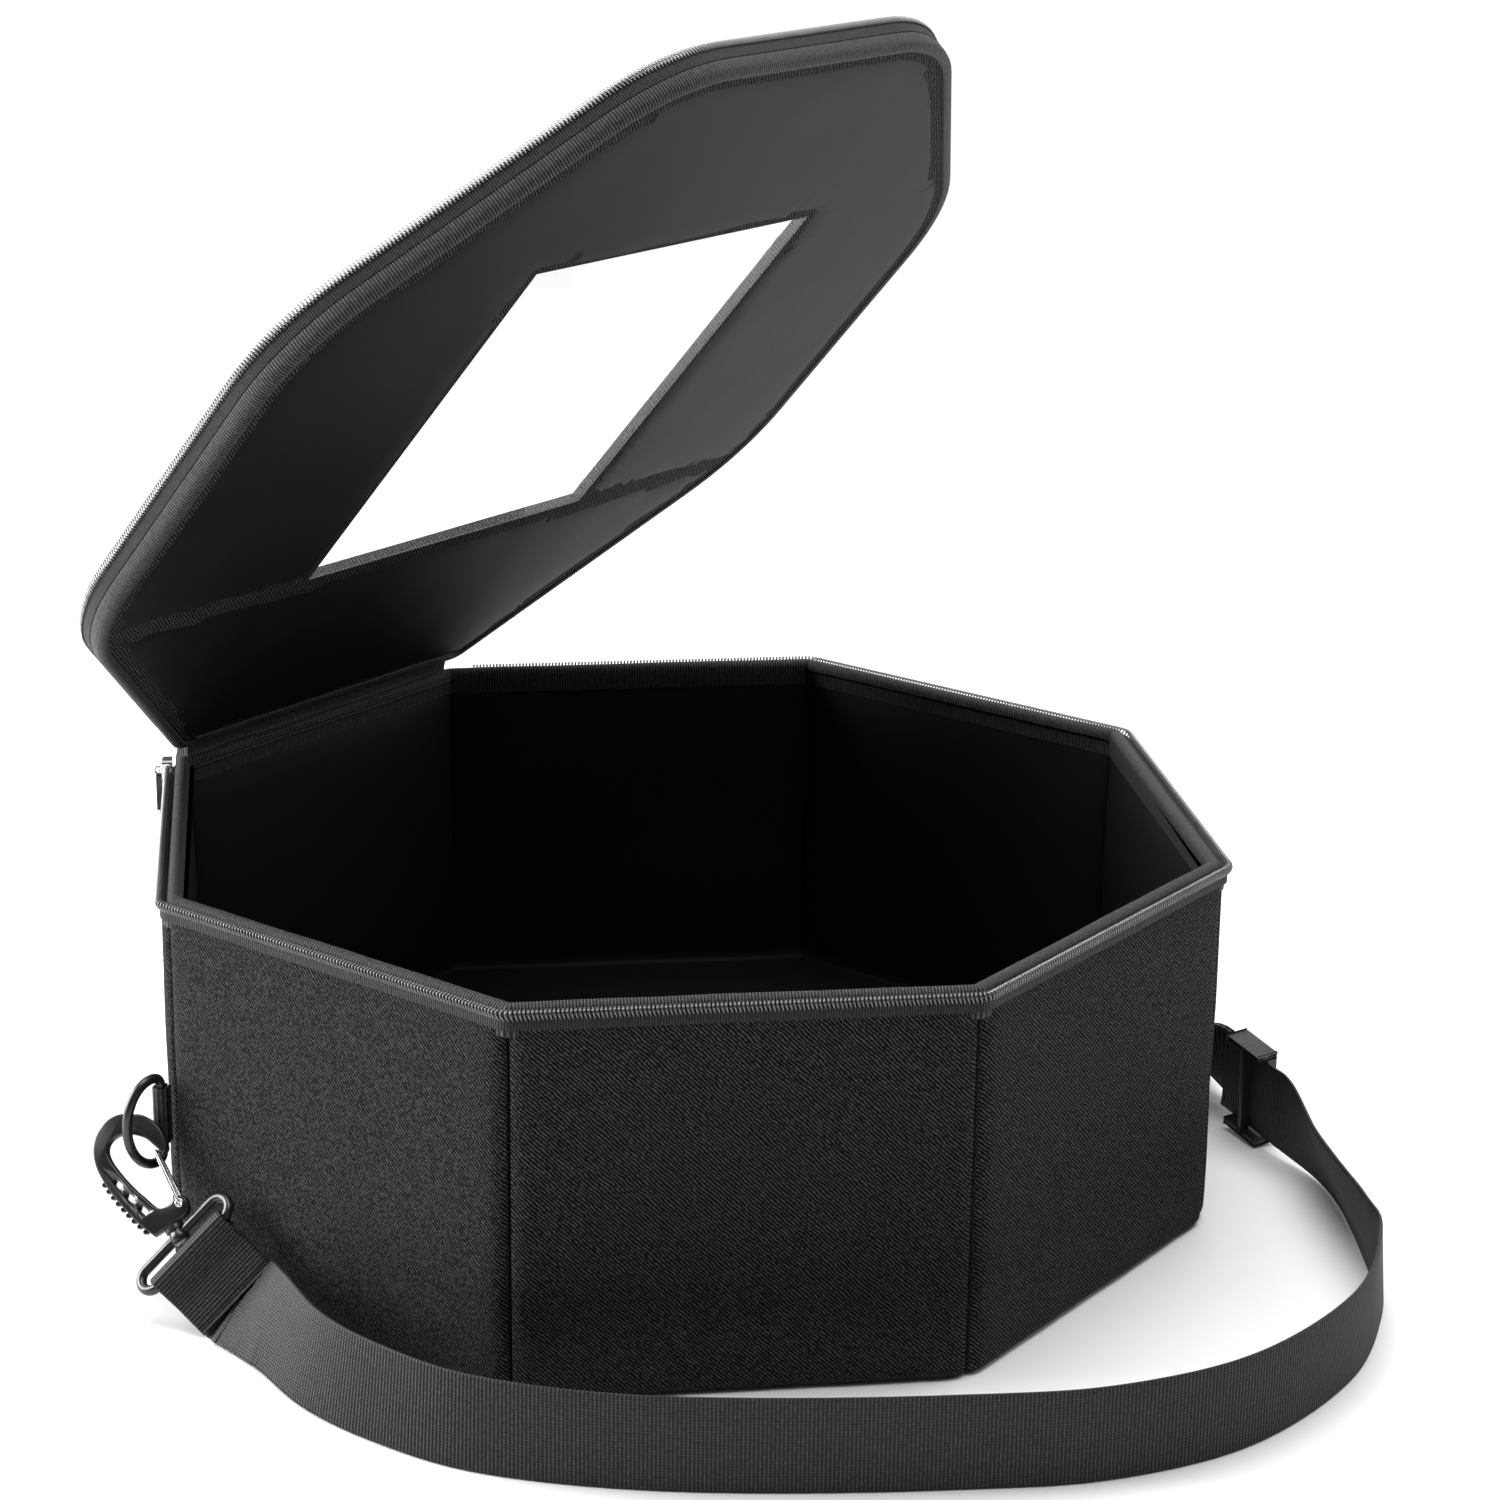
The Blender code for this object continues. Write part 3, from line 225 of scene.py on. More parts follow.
# Zip slider and its pull
SLIDER_LENGTH = 0.009
SLIDER_HEIGHT = 0.008
SLIDER_DEPTH = 0.0026
SLIDER_FROM_CORNER = 0.0055
STAPLE_REACH = 0.0026
STAPLE_HALF_WIDTH = 0.0027
STAPLE_WIRE = 0.0007
STAPLE_BEND = 0.0014
SLIDER_ROUNDING = 0.0011
PULL_LENGTH = 0.024
PULL_WIDTH = 0.0058
PULL_THICKNESS = 0.0014
PULL_EYE_RADIUS = 0.0019
PULL_EYE_WIRE = 0.0006
TONGUE_LENGTH = 0.0156
TONGUE_DROP = 0.0100
TONGUE_ROUNDING = 0.0006
PULL_LOOP_WIRE = 0.0009
PULL_LOOP_DROP = 0.0170
PULL_LOOP_BEND = 0.0016

# Soft forms: rolled edges, crowns and seams
WALL_ROLL = 0.0085
WALL_FOOT_ROLL = 0.0046
WALL_TOP_ROLL = 0.0022
WALL_CROWN = 0.0013
LINING_LOW = 0.0073
LINING_LIP = 0.0008
LINING_SWELL = 0.0022
LINING_FOOT_ROLL = 0.004
LINING_FLOOR = 0.0086
FLOOR_UNEVENNESS = 0.0004
BINDING_ROLL_RADIUS = 0.0033
BINDING_ROLL_INSET = 0.0054
BOARD_ROLL = 0.004
BOARD_WINDOW_ROLL = 0.0028
LID_GRID = 0.009
HINGE_CLOTH_SHORT = 0.012
PIPING_RADIUS_ON_LID = 0.0011
PIPING_RADIUS_ON_RIM = 0.0010
GATE_EYE_RADIUS = 0.0014
GATE_EYE_WIRE = 0.0006
HOOK_RIDGES = 9
HOOK_RIDGE_WIRE = 0.0010
TAIL_DIP = 0.0020
FOLD_DIP = 0.0690
STITCH_PLACE = 0.0635
STITCH_STATION = 0.0005
STITCH_WIRE = 0.00028
STITCH_COUNT = 13
STITCH_ROW_GAP = 0.0022

# Viewpoint and light
CAMERA_PLACE = (0.910, -1.155, 0.682)
CAMERA_TURNS = ((37.03, "Z"), (71.71, "X"), (0.84, "Z"))
CAMERA_LENS = 84.19
FLOOR_RADIUS = 2.1
FLOOR_DROP = 0.0002
BRIGHT_SIDE = (-0.57, 0.75, -0.33)
DARK_SIDE_LEVEL = 0.10
SURROUND_STRENGTH = 1.02
LAMPS = (
    {"name": "left_lamp", "place": (-1.9, -1.3, 0.9), "target": (0, -0.1, 0.12), "size": 1.5, "power": 105},
    {"name": "right_lamp", "place": (1.6, 1.9, 1.0), "target": (0.1, 0, 0.15), "size": 1.5, "power": 13},
    {"name": "top_lamp", "place": (0.0, 0.2, 2.6), "target": (0, 0, 0.1), "size": 2.6, "power": 95},
)

RIM_RADII = [RIM_CORNER_RADIUS] * SIDES


# Node helpers

class Shading:
    """One Principled material and short ways to add nodes to it."""

    def __init__(self, name, colour, roughness, metallic=0.0):
        self.material = bpy.data.materials.new(name)
        self.material.use_nodes = True
        self.tree = self.material.node_tree
        self.shader = self.tree.nodes["Principled BSDF"]
        self.shader.inputs["Base Color"].default_value = (*colour, 1.0)
        self.shader.inputs["Roughness"].default_value = roughness
        self.shader.inputs["Metallic"].default_value = metallic
        self.material.diffuse_color = (*colour, 1.0)

    def node(self, kind, **settings):
        made = self.tree.nodes.new(kind)
        for key, value in settings.items():
            setattr(made, key, value)
        return made

    def join(self, source, target):
        self.tree.links.new(source, target)

    def math(self, operation, first, second=None):
        made = self.node("ShaderNodeMath", operation=operation)
        for index, value in enumerate((first, second)):
            if value is None:
                continue
            if isinstance(value, (int, float)):
                made.inputs[index].default_value = value
            else:
                self.join(value, made.inputs[index])
        return made.outputs[0]

    def uv(self):
        """Lengths along and across the cloth, in metres."""
        split = self.node("ShaderNodeSeparateXYZ")
        self.join(self.node("ShaderNodeUVMap", uv_map="UVMap").outputs[0], split.inputs[0])
        return split.outputs[0], split.outputs[1]

    def place(self):
        """Position on the piece, in metres."""
        return self.node("ShaderNodeTexCoord").outputs["Object"]

    def wave(self, value, pitch):
        """A wave from 0 to 1 that repeats every pitch."""
        turned = self.math("SINE", self.math("MULTIPLY", value, 2 * math.pi / pitch))
        return self.math("ADD", self.math("MULTIPLY", turned, 0.5), 0.5)

    def noise(self, scale, detail=2.0, roughness=0.5, stretch=None):
        """Cloudy noise over the piece."""
        made = self.node("ShaderNodeTexNoise")
        made.inputs["Scale"].default_value = scale
        made.inputs["Detail"].default_value = detail
        made.inputs["Roughness"].default_value = roughness
        vector = self.place()
        if stretch is not None:
            mapping = self.node("ShaderNodeMapping")
            mapping.inputs["Scale"].default_value = stretch
            self.join(vector, mapping.inputs[0])
            vector = mapping.outputs[0]
        self.join(vector, made.inputs["Vector"])
        return made.outputs["Fac"]

    def ramp(self, value, stops):
        """Colours along a value."""
        made = self.node("ShaderNodeValToRGB")
        made.color_ramp.elements[0].position = stops[0][0]
        made.color_ramp.elements[0].color = (*stops[0][1], 1)
        made.color_ramp.elements[1].position = stops[-1][0]
        made.color_ramp.elements[1].color = (*stops[-1][1], 1)
        for position, colour in stops[1:-1]:
            added = made.color_ramp.elements.new(position)
            added.color = (*colour, 1)
        self.join(value, made.inputs[0])
        return made.outputs[0]

    def bump(self, height, distance, strength=1.0, normal=None):
        made = self.node("ShaderNodeBump")
        made.inputs["Distance"].default_value = distance
        made.inputs["Strength"].default_value = strength
        self.join(height, made.inputs["Height"])
        if normal is not None:
            self.join(normal, made.inputs["Normal"])
        return made.outputs[0]

    def colour(self, socket):
        self.join(socket, self.shader.inputs["Base Color"])

    def surface(self, normal):
        self.join(normal, self.shader.inputs["Normal"])

    def specular(self, level):
        self.shader.inputs["Specular IOR Level"].default_value = level


def grey(value):
    """A neutral colour."""
    return (value, value, value * 1.01)


# Materials

def oxford_cloth():
    """Melange oxford weave of the outer panels."""
    made = Shading("oxford_cloth", grey(0.022), 0.82)
    along, across = made.uv()
    wander = made.math("MULTIPLY", made.noise(160, 1.0), 0.0022)
    slant = made.math("ADD", made.math("ADD", along, across), wander)
    twill = made.wave(slant, 0.0019)
    weft = made.wave(made.math("SUBTRACT", along, across), 0.0011)
    weave = made.math("ADD", made.math("MULTIPLY", twill, 0.60), made.math("MULTIPLY", weft, 0.25))
    grain = made.noise(900, 1.0, 0.6)
    mixed = made.math("ADD", made.math("MULTIPLY", weave, 0.62), made.math("MULTIPLY", grain, 0.72))
    made.colour(made.ramp(mixed, [(0.38, grey(0.0003)), (0.60, grey(0.0045)), (0.88, grey(0.075))]))
    broad = made.bump(made.noise(26, 2.0), 0.0012, 0.35)
    made.surface(made.bump(mixed, 0.00045, 1.0, broad))
    made.specular(0.10)
    return made.material


def lining_cloth():
    """Smooth lining with a faint sheen."""
    made = Shading("lining_cloth", grey(0.014), 0.62)
    along, across = made.uv()
    fine = made.math("MULTIPLY", made.wave(along, 0.0006), made.wave(across, 0.0006))
    clouds = made.noise(9, 3.0)
    made.colour(made.ramp(clouds, [(0.3, grey(0.0030)), (0.75, grey(0.0050))]))
    soft = made.bump(made.noise(14, 2.5), 0.004, 0.22)
    made.surface(made.bump(fine, 0.00010, 0.5, soft))
    made.specular(0.22)
    return made.material


def ribbed_cloth(name, pitch, low, high, depth=0.0004):
    """Grosgrain: raised ribs across the length, with a fine thread along them; the colour is painted
    highlight on the rib crests and painted shade in the grooves.
    """
    made = Shading(name, grey(high), 0.62)
    along, across = made.uv()
    rib = made.wave(along, pitch)
    thread = made.wave(across, pitch * 0.7)
    body = made.math("ADD", made.math("MULTIPLY", rib, 0.85), made.math("MULTIPLY", thread, 0.15))
    speck = made.noise(700, 1.0)
    mixed = made.math("MULTIPLY", body, made.math("ADD", speck, 0.45))
    # painted light: the grooves fall to the low grey as painted shade, the rib crests rise to four times
    # the high grey as painted highlight
    made.colour(made.ramp(mixed, [(0.12, grey(low)), (0.55, grey(high)), (0.95, grey(high * 4.0))]))
    made.surface(made.bump(body, depth, 0.9))
    made.specular(0.3)
    return made.material


def webbing_painted_rib_light():
    """Webbing thread; its ribs are in the mesh and the fine thread is here, and the colour paints the ribs:
    painted highlight on their crests, painted shade between them.
    """
    made = Shading("webbing_painted_rib_light", grey(0.03), 0.55)
    along, across = made.uv()
    thread = made.wave(across, 0.0013)
    # this wave lines up with the ribs of the mesh and is brightest on each crest
    rib = made.wave(made.math("SUBTRACT", along, STRAP_RIB_PITCH / 4), STRAP_RIB_PITCH)
    weave = made.math("ADD", made.math("MULTIPLY", thread, 0.15), made.math("MULTIPLY", rib, 0.85))
    speck = made.noise(600, 1.0)
    mixed = made.math("MULTIPLY", weave, made.math("ADD", speck, 0.5))
    # painted shade between the ribs and painted highlight on their crests
    made.colour(made.ramp(mixed, [(0.20, grey(0.0004)), (0.6, grey(0.007)), (1.0, grey(0.045))]))
    made.surface(made.bump(thread, 0.00016, 0.8))
    made.specular(0.35)
    return made.material


def nylon():
    """Zip teeth."""
    made = Shading("nylon_teeth", grey(0.020), 0.24)
    made.colour(made.ramp(made.noise(60), [(0.3, grey(0.050)), (0.8, grey(0.090))]))
    made.specular(0.9)
    made.shader.inputs["Coat Weight"].default_value = 0.8
    return made.material


def coated_metal():
    """Black coated hardware, rubbed a little."""
    made = Shading("black_coated_metal", grey(0.012), 0.30)
    patches = made.noise(120, 3.0)
    made.colour(made.ramp(patches, [(0.35, grey(0.009)), (0.8, grey(0.018))]))
    rough = made.math("ADD", made.math("MULTIPLY", patches, 0.18), 0.22)
    made.join(rough, made.shader.inputs["Roughness"])
    made.surface(made.bump(made.noise(500, 2.0), 0.00008, 0.4))
    made.shader.inputs["Coat Weight"].default_value = 0.25
    return made.material


def bright_steel():
    """Plated wire and slider."""
    made = Shading("bright_steel", (0.72, 0.72, 0.73), 0.2, 1.0)
    made.join(made.math("ADD", made.math("MULTIPLY", made.noise(300, 2.0), 0.15), 0.12),
              made.shader.inputs["Roughness"])
    made.surface(made.bump(made.noise(400, 2.0), 0.00005, 0.4))
    return made.material


def moulded_plastic():
    """Black slide adjuster."""
    made = Shading("moulded_plastic", grey(0.018), 0.38)
    made.surface(made.bump(made.noise(700, 2.0), 0.00006, 0.6))
    made.colour(made.ramp(made.noise(90), [(0.3, grey(0.014)), (0.8, grey(0.026))]))
    return made.material


def clear_vinyl():
    """Window sheet."""
    made = Shading("clear_vinyl", (0.97, 0.975, 0.98), 0.04)
    made.shader.inputs["Alpha"].default_value = 0.10
    made.specular(0.6)
    made.surface(made.bump(made.noise(18, 2.0), 0.003, 0.25))
    return made.material


def thread_material():
    """Sewing thread."""
    made = Shading("sewing_thread", grey(0.016), 0.5)
    made.surface(made.bump(made.noise(3000, 1.0), 0.00006, 0.8))
    return made.material


def floor_material():
    """Plain pale floor."""
    return Shading("pale_floor", (0.93, 0.93, 0.93), 0.75).material


# Mesh helpers

def skin(name, rings, material, along_closed=False, around_closed=True, capped=True, sharp=60,
         lengths=None):
    """Quads over rings of points; the UV is length along the rings and across each ring."""
    builder = bmesh.new()
    layer = builder.loops.layers.uv.new("UVMap")
    loops = [[builder.verts.new(point) for point in ring] for ring in rings]
    count = len(rings[0])
    middles = [sum(ring, Vector()) / count for ring in rings]
    lengths = lengths or running_lengths(middles, along_closed)
    widths = running_lengths(rings[0], around_closed)
    spans = len(rings) if along_closed else len(rings) - 1
    steps = count if around_closed else count - 1
    for i in range(spans):
        first = loops[i]
        second = loops[(i + 1) % len(rings)]
        for j in range(steps):
            after = (j + 1) % count
            face = builder.faces.new((first[j], first[after], second[after], second[j]))
            corners = ((i, j), (i, j + 1), (i + 1, j + 1), (i + 1, j))
            for loop, (a, b) in zip(face.loops, corners):
                loop[layer].uv = (lengths[a], widths[b])
    if capped and not along_closed and around_closed:
        for ring, flip in ((loops[0], True), (loops[-1], False)):
            cap = builder.faces.new(list(reversed(ring)) if flip else ring)
            for loop in cap.loops:
                loop[layer].uv = (loop.vert.co.x, loop.vert.co.y)
    return finish_mesh(name, builder, material, sharp)


def running_lengths(points, closed):
    """Distance along a run of points; a closed run has one more, back at its start."""
    lengths = [0.0]
    count = len(points)
    for index in range(1, count + (1 if closed else 0)):
        lengths.append(lengths[-1] + (points[index % count] - points[index - 1]).length)
    return lengths


def finish_mesh(name, builder, material, sharp=60):
    """Name, shade and place a mesh."""
    bmesh.ops.recalc_face_normals(builder, faces=builder.faces)
    mesh = bpy.data.meshes.new(name)
    builder.to_mesh(mesh)
    builder.free()
    mesh.shade_smooth()
    mesh.set_sharp_from_angle(angle=math.radians(sharp))
    mesh.materials.append(material)
    thing = bpy.data.objects.new(name, mesh)
    bpy.context.scene.collection.objects.link(thing)
    return thing


def circle(middle, first, second, radius, count):
    """Points round a circle that two square directions span."""
    turns = (2 * math.pi * step / count for step in range(count))
    return [middle + (first * math.cos(a) + second * math.sin(a)) * radius for a in turns]


def tube_rings(points, radius, sides=8, closed=True):
    """Rings of a round wire through points, without twist."""
    count = len(points)
    rings = []
    across = None
    for index, point in enumerate(points):
        if closed:
            along = points[(index + 1) % count] - points[index - 1]
        else:
            along = points[min(index + 1, count - 1)] - points[max(index - 1, 0)]
        along.normalize()
        if across is None:
            across = along.orthogonal().normalized()
        across = (across - along * across.dot(along)).normalized()
        rings.append(circle(point, across, along.cross(across), radius, sides))
    return rings


def wire(name, points, radius, material, sides=8, closed=True):
    """A round wire as its own piece."""
    rings = tube_rings(points, radius, sides, closed)
    return skin(name, rings, material, along_closed=closed)


def many_wires(name, paths, radius, material, sides=6, swell=None):
    """Many short wires in one piece, such as teeth or stitches."""
    builder = bmesh.new()
    layer = builder.loops.layers.uv.new("UVMap")
    for path in paths:
        rings = tube_rings(path, radius, sides, False)
        if swell:
            rings = [[c + (p - c) * k for p in ring] for ring, c, k in zip(rings, path, swell)]
        loops = [[builder.verts.new(p) for p in ring] for ring in rings]
        for first, second in zip(loops, loops[1:]):
            for j in range(sides):
                after = (j + 1) % sides
                builder.faces.new((first[j], first[after], second[after], second[j]))
        builder.faces.new(list(reversed(loops[0])))
        builder.faces.new(loops[-1])
    for face in builder.faces:
        for loop in face.loops:
            loop[layer].uv = (loop.vert.co.x, loop.vert.co.z)
    return finish_mesh(name, builder, material, 75)


def dress(piece, body, slot, *nodes):
    """Let a piece ride on a body in place of its CAD nodes."""
    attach(piece, body)
    if nodes:
        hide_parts(*nodes)
    return piece


# The eight-sided plan

def side_normal(side):
    """Outward direction of a side in plan."""
    angle = -math.pi / 2 + SIDE_STEP * side
    return Vector((math.cos(angle), math.sin(angle), 0))


def side_along(side):
    """Direction along a side, anticlockwise from above."""
    normal = side_normal(side)
    return Vector((-normal.y, normal.x, 0))


def plan_corners(distances, centre=Vector((0, 0, 0))):
    """Corners of the plan whose side k lies distances[k] from the centre."""
    corners = []
    for side in range(SIDES):
        before = side_normal(side - 1)
        after = side_normal(side)
        spread = before.x * after.y - before.y * after.x
        x = (distances[side - 1] * after.y - distances[side] * before.y) / spread
        y = (before.x * distances[side] - after.x * distances[side - 1]) / spread
        corners.append(centre + Vector((x, y, 0)))
    return corners


def rounded_run(corners, radius, steps, closed=True):
    """Replace each corner of a polygon by an arc; the radius may be a list with one for each."""
    points = []
    count = len(corners)
    radii = radius if isinstance(radius, list) else [radius] * count
    for index, corner in enumerate(corners):
        if not closed and index in (0, count - 1):
            points.append(corner.copy())
            continue
        towards_last = (corners[index - 1] - corner).normalized()
        towards_next = (corners[(index + 1) % count] - corner).normalized()
        half = towards_last.angle(towards_next) / 2
        inset = radii[index] / math.tan(half)
        start = corner + towards_last * inset
        centre = corner + (towards_last + towards_next).normalized() * (radii[index] / math.sin(half))
        arm = start - centre
        turn = math.pi - 2 * half
        axis = towards_next.cross(towards_last).normalized()
        for step in range(steps):
            points.append(centre + Matrix.Rotation(turn * step / (steps - 1), 3, axis) @ arm)
    return points


def cut_point(start, towards, cut):
    """Where a side, from its corner on the hinge side, crosses the line x = cut."""
    share = (cut - start.x) / (towards.x - start.x)
    return start.lerp(towards, share)


def plan_run(distances, outwards, radii, centre=Vector((0, 0, 0)), cut=None, steps=11):
    """The rounded plan outline, or its seven zip sides from a cut line."""
    sides = [distance + outwards for distance in distances]
    grown = [radius + outwards for radius in radii]
    corners = plan_corners(sides, centre)
    if cut is None:
        return rounded_run(corners, grown, steps)
    order = [(HINGE_SIDE + 1 + k) % SIDES for k in range(SIDES)]
    seven = [corners[index] for index in order]
    grown = [grown[index] for index in order]
    seven[0] = cut_point(seven[0], seven[1], cut)
    seven[-1] = cut_point(seven[-1], seven[-2], cut)
    return rounded_run(seven, grown, steps, closed=False)


def densify(points, spacing, closed):
    """Points along a run no further apart than a spacing, with its own points kept."""
    made = []
    count = len(points)
    for index in range(count if closed else count - 1):
        start = points[index]
        end = points[(index + 1) % count]
        pieces = max(1, math.ceil((end - start).length / spacing))
        made += [start.lerp(end, k / pieces) for k in range(pieces)]
    if not closed:
        made.append(points[-1].copy())
    return made


def strip_rings(distances, profile, radius, centre=Vector((0, 0, 0)), cut=None, spacing=0.02):
    """Rings of a profile of (outwards, up) along the plan."""
    closed = cut is None
    base = plan_run(distances, 0.0, radius, centre, cut)
    guide = densify(base, spacing, closed)
    shares = share_map(base, guide, closed)
    runs = []
    for outwards, height in profile:
        run = plan_run(distances, outwards, radius, centre, cut)
        runs.append([at_share(run, share) + UP * height for share in shares])
    return [[run[index] for run in runs] for index in range(len(guide))]


def share_map(base, guide, closed):
    """For each guide point, its place on the base run as (segment, share)."""
    places = []
    segment = 0
    count = len(base)
    for point in guide:
        while segment < count - (0 if closed else 1):
            start = base[segment]
            end = base[(segment + 1) % count]
            length = (end - start).length
            if length < 1e-9:
                segment += 1
                continue
            share = (point - start).dot(end - start) / length ** 2
            if share <= 1.0 - 1e-6:
                break
            segment += 1
        if segment >= count - (0 if closed else 1):
            places.append((count - 2 if not closed else count - 1, 1.0))
        else:
            places.append((segment, max(0.0, share)))
    return places


def at_share(run, place):
    """A point on a run by segment and share."""
    segment, share = place
    return run[segment].lerp(run[(segment + 1) % len(run)], share)


# Lid space: up the lid from its hinge axis, across, and out of its top

LID_AXIS = Vector((HINGE_INSET - HALF_WIDTH, 0, RIM_HEIGHT + HINGE_RISE))
LID_FRAME = Matrix.Translation(LID_AXIS) @ Matrix.Rotation(-math.radians(LID_OPENING_DEG), 4, "Y")
LID_CENTRE = Vector((HALF_WIDTH - HINGE_INSET, 0, 0))
LID_UNDERSIDE = LID_REST_GAP - HINGE_RISE
LID_TOP = LID_UNDERSIDE + LID_THICKNESS


def lid_sides(inset=0.0):
    """Distances of the lid's sides; the hinge side stops short of the hinge roll."""
    sides = [HALF_WIDTH - LID_EDGE_INSET - inset] * SIDES
    sides[HINGE_SIDE] = LID_CENTRE.x - HINGE_ROLL_RADIUS - HINGE_CLEARANCE - inset
    return sides


def lid_radii(inset=0.0):
    """Radii of the lid's corners; the two beside the hinge are nearly sharp."""
    radii = [LID_CORNER_RADIUS - inset] * SIDES
    for corner in (HINGE_SIDE, HINGE_SIDE + 1):
        radii[corner] = LID_HINGE_CORNER_RADIUS - inset
    return radii


def to_lid(rings):
    """Carry rings from lid space to the open lid."""
    return [[LID_FRAME @ point for point in ring] for ring in rings]


# Box walls and lining

def ripple(point, scale, height):
    """A small smooth unevenness of cloth."""
    return noise.noise(point * scale) * height


def round_off(distance, radius):
    """How far a face falls back at a distance from its rounded edge."""
    if distance >= radius:
        return 0.0
    return radius - math.sqrt(max(0.0, radius ** 2 - (radius - distance) ** 2))


def wall_cell(side, material):
    """One padded wall panel: crowned face, rolled edges that meet in a sewn groove."""
    edge = WALL_ROLL
    normal = side_normal(side)
    along = side_along(side)
    width = HALF_WIDTH * HALF_TURN
    offsets = [edge * (1 - math.cos(math.radians(a))) for a in (0, 14, 28, 42, 56, 72, 90)]
    inner = [-1 + 2 * k / 22 for k in range(1, 22)]
    spots = [-width + d for d in offsets]
    spots += [t * (width - edge) for t in inner]
    spots += [width - d for d in reversed(offsets)]
    levels = [0.0, 0.0004, 0.0014, 0.0028, WALL_FOOT_ROLL]
    levels += [WALL_FOOT_ROLL + (PANEL_TOP - 0.0086) * k / 21 for k in range(1, 22)]
    levels += [PANEL_TOP - 0.0020, PANEL_TOP - 0.0008, PANEL_TOP]
    rings = []
    for z in levels:
        ring = []
        for s in spots:
            fall = round_off(width - abs(s), edge) + round_off(z, WALL_FOOT_ROLL)
            fall += round_off(PANEL_TOP - z, WALL_TOP_ROLL)
            crown = WALL_CROWN * (1 - (s / width) ** 6) * (1 - ((z - 0.082) / 0.0825) ** 6)
            spot = normal * HALF_WIDTH + along * s + UP * z
            r = HALF_WIDTH - fall + crown + ripple(spot, 22, 0.0006) + ripple(spot, 70, 0.00015)
            limit = r * HALF_TURN - 0.0004
            ring.append(normal * r + along * max(-limit, min(limit, s)) + UP * z)
        depth = HALF_WIDTH - (WALL_THICKNESS if z < WALL_HEIGHT else 0.0032)
        limit = depth * HALF_TURN - 0.0004
        ring.append(normal * depth + along * limit + UP * z)
        ring.append(normal * depth - along * limit + UP * z)
        rings.append(ring)
    panel = skin(f"wall_cell_{side + 1}", rings, material, sharp=50)
    return dress(panel, "box", "cloth", f"wall_panel_{side + 1}")


def lining_cup(material):
    """Padded lining: eight soft cells that bulge inwards, a rolled foot and the floor."""
    outside = HALF_WIDTH - WALL_THICKNESS - GAP
    seat = outside - LINING_LIP
    spots = [-1, -0.985, -0.965, -0.94, -0.9, -0.8, -0.6, -0.3, 0, 0.3, 0.6, 0.8, 0.9, 0.94, 0.965, 0.985]

    def ring_at(distance, z, bulge):
        ring = []
        for side in range(SIDES):
            for t in spots:
                fall = bulge * (1 - abs(t) ** 10) ** 0.5 if abs(t) < 1 else 0.0
                spot = side_normal(side) * distance + side_along(side) * t * distance * HALF_TURN
                fall += ripple(spot + UP * z, 16, 0.0009) * (1 if bulge > 0 else 0) * (1 - abs(t) ** 6)
                r = distance - fall
                ring.append(side_normal(side) * r + side_along(side) * t * r * HALF_TURN + UP * z)
        return ring

    rings = [ring_at(outside, LINING_LOW, 0), ring_at(outside, WALL_HEIGHT, 0)]
    rings.append(ring_at(seat, WALL_HEIGHT, 0))
    for k in range(15):
        z = WALL_HEIGHT - 0.002 - (WALL_HEIGHT - 0.018) * k / 14
        swell = LINING_SWELL * (1 - abs((z - 0.082) / 0.0765) ** 4)
        rings.append(ring_at(seat, z, max(0.0003, swell)))
    for a in (30, 60, 90):
        turn = math.radians(a)
        inset = LINING_FOOT_ROLL * (1 - math.cos(turn))
        height = LINING_FLOOR + 0.0039 - LINING_FOOT_ROLL * math.sin(turn)
        rings.append(ring_at(seat - inset, height, 0.0003))
    for distance in (0.17, 0.12, 0.07, 0.02):
        rings.append(plan_ring(distance, spots, floor_height))
    cup = skin("lining_cup", rings, material, sharp=70)
    return dress(cup, "box", "lining", "box_lining")


def plan_ring(distance, spots, height):
    """A ring round the plan, its height given by a function."""
    ring = []
    for side in range(SIDES):
        for t in spots:
            spot = side_normal(side) * distance + side_along(side) * t * distance * HALF_TURN
            ring.append(spot + UP * height(spot))
    return ring


def floor_height(spot):
    """Height of the lined floor."""
    return LINING_FLOOR + ripple(spot, 12, FLOOR_UNEVENNESS)


def base_cloth(material):
    """The covered floor board seen from below, with a rolled edge."""
    spots = [-1, -0.8, -0.4, 0, 0.4, 0.8]
    edge = HALF_WIDTH - WALL_THICKNESS - GAP
    rings = []
    profile = [(edge - 0.001, 0.0069), (edge, 0.0060), (edge, 0.0030), (edge - 0.001, 0.0014),
               (edge - 0.003, 0.0005)]
    profile += [(distance, 0.0004) for distance in (0.19, 0.13, 0.07, 0.02)]
    for distance, z in profile:
        rings.append(plan_ring(distance, spots, lambda spot: z + abs(ripple(spot, 20, FLOOR_UNEVENNESS))))
    board = skin("base_cloth", rings, material, sharp=60)
    dress(board, "box", "cloth", "base_panel")


# Rim

def rim_profile():
    """Binding over the wall: a round roll inside, and a low step outside where the zip is sewn."""
    inner = -(WALL_THICKNESS + GAP + 0.0013)
    low = WALL_HEIGHT + GAP
    middle = -BINDING_ROLL_INSET
    radius = BINDING_ROLL_RADIUS
    profile = [(inner, low), (-0.0004, low), (-0.0002, 0.1640), (-0.0010, 0.1646), (-0.0019, 0.1644)]
    for step in range(9):
        a = math.radians(-20 + 25 * step)
        profile.append((middle + radius * math.cos(a), BINDING_CREST - radius + radius * math.sin(a)))
    return profile + [(inner, 0.1612)]


def rim_strip(material):
    """The ribbed binding round the rim."""
    rings = strip_rings([HALF_WIDTH] * SIDES, rim_profile(), RIM_RADII, spacing=0.012)
    for ring in rings:
        for point in ring:
            point.z += ripple(point, 30, 0.0004) if point.z > 0.16 else 0.0
    strip = skin("rim_strip", rings, material, along_closed=True)
    return dress(strip, "box", "binding", "rim_binding")


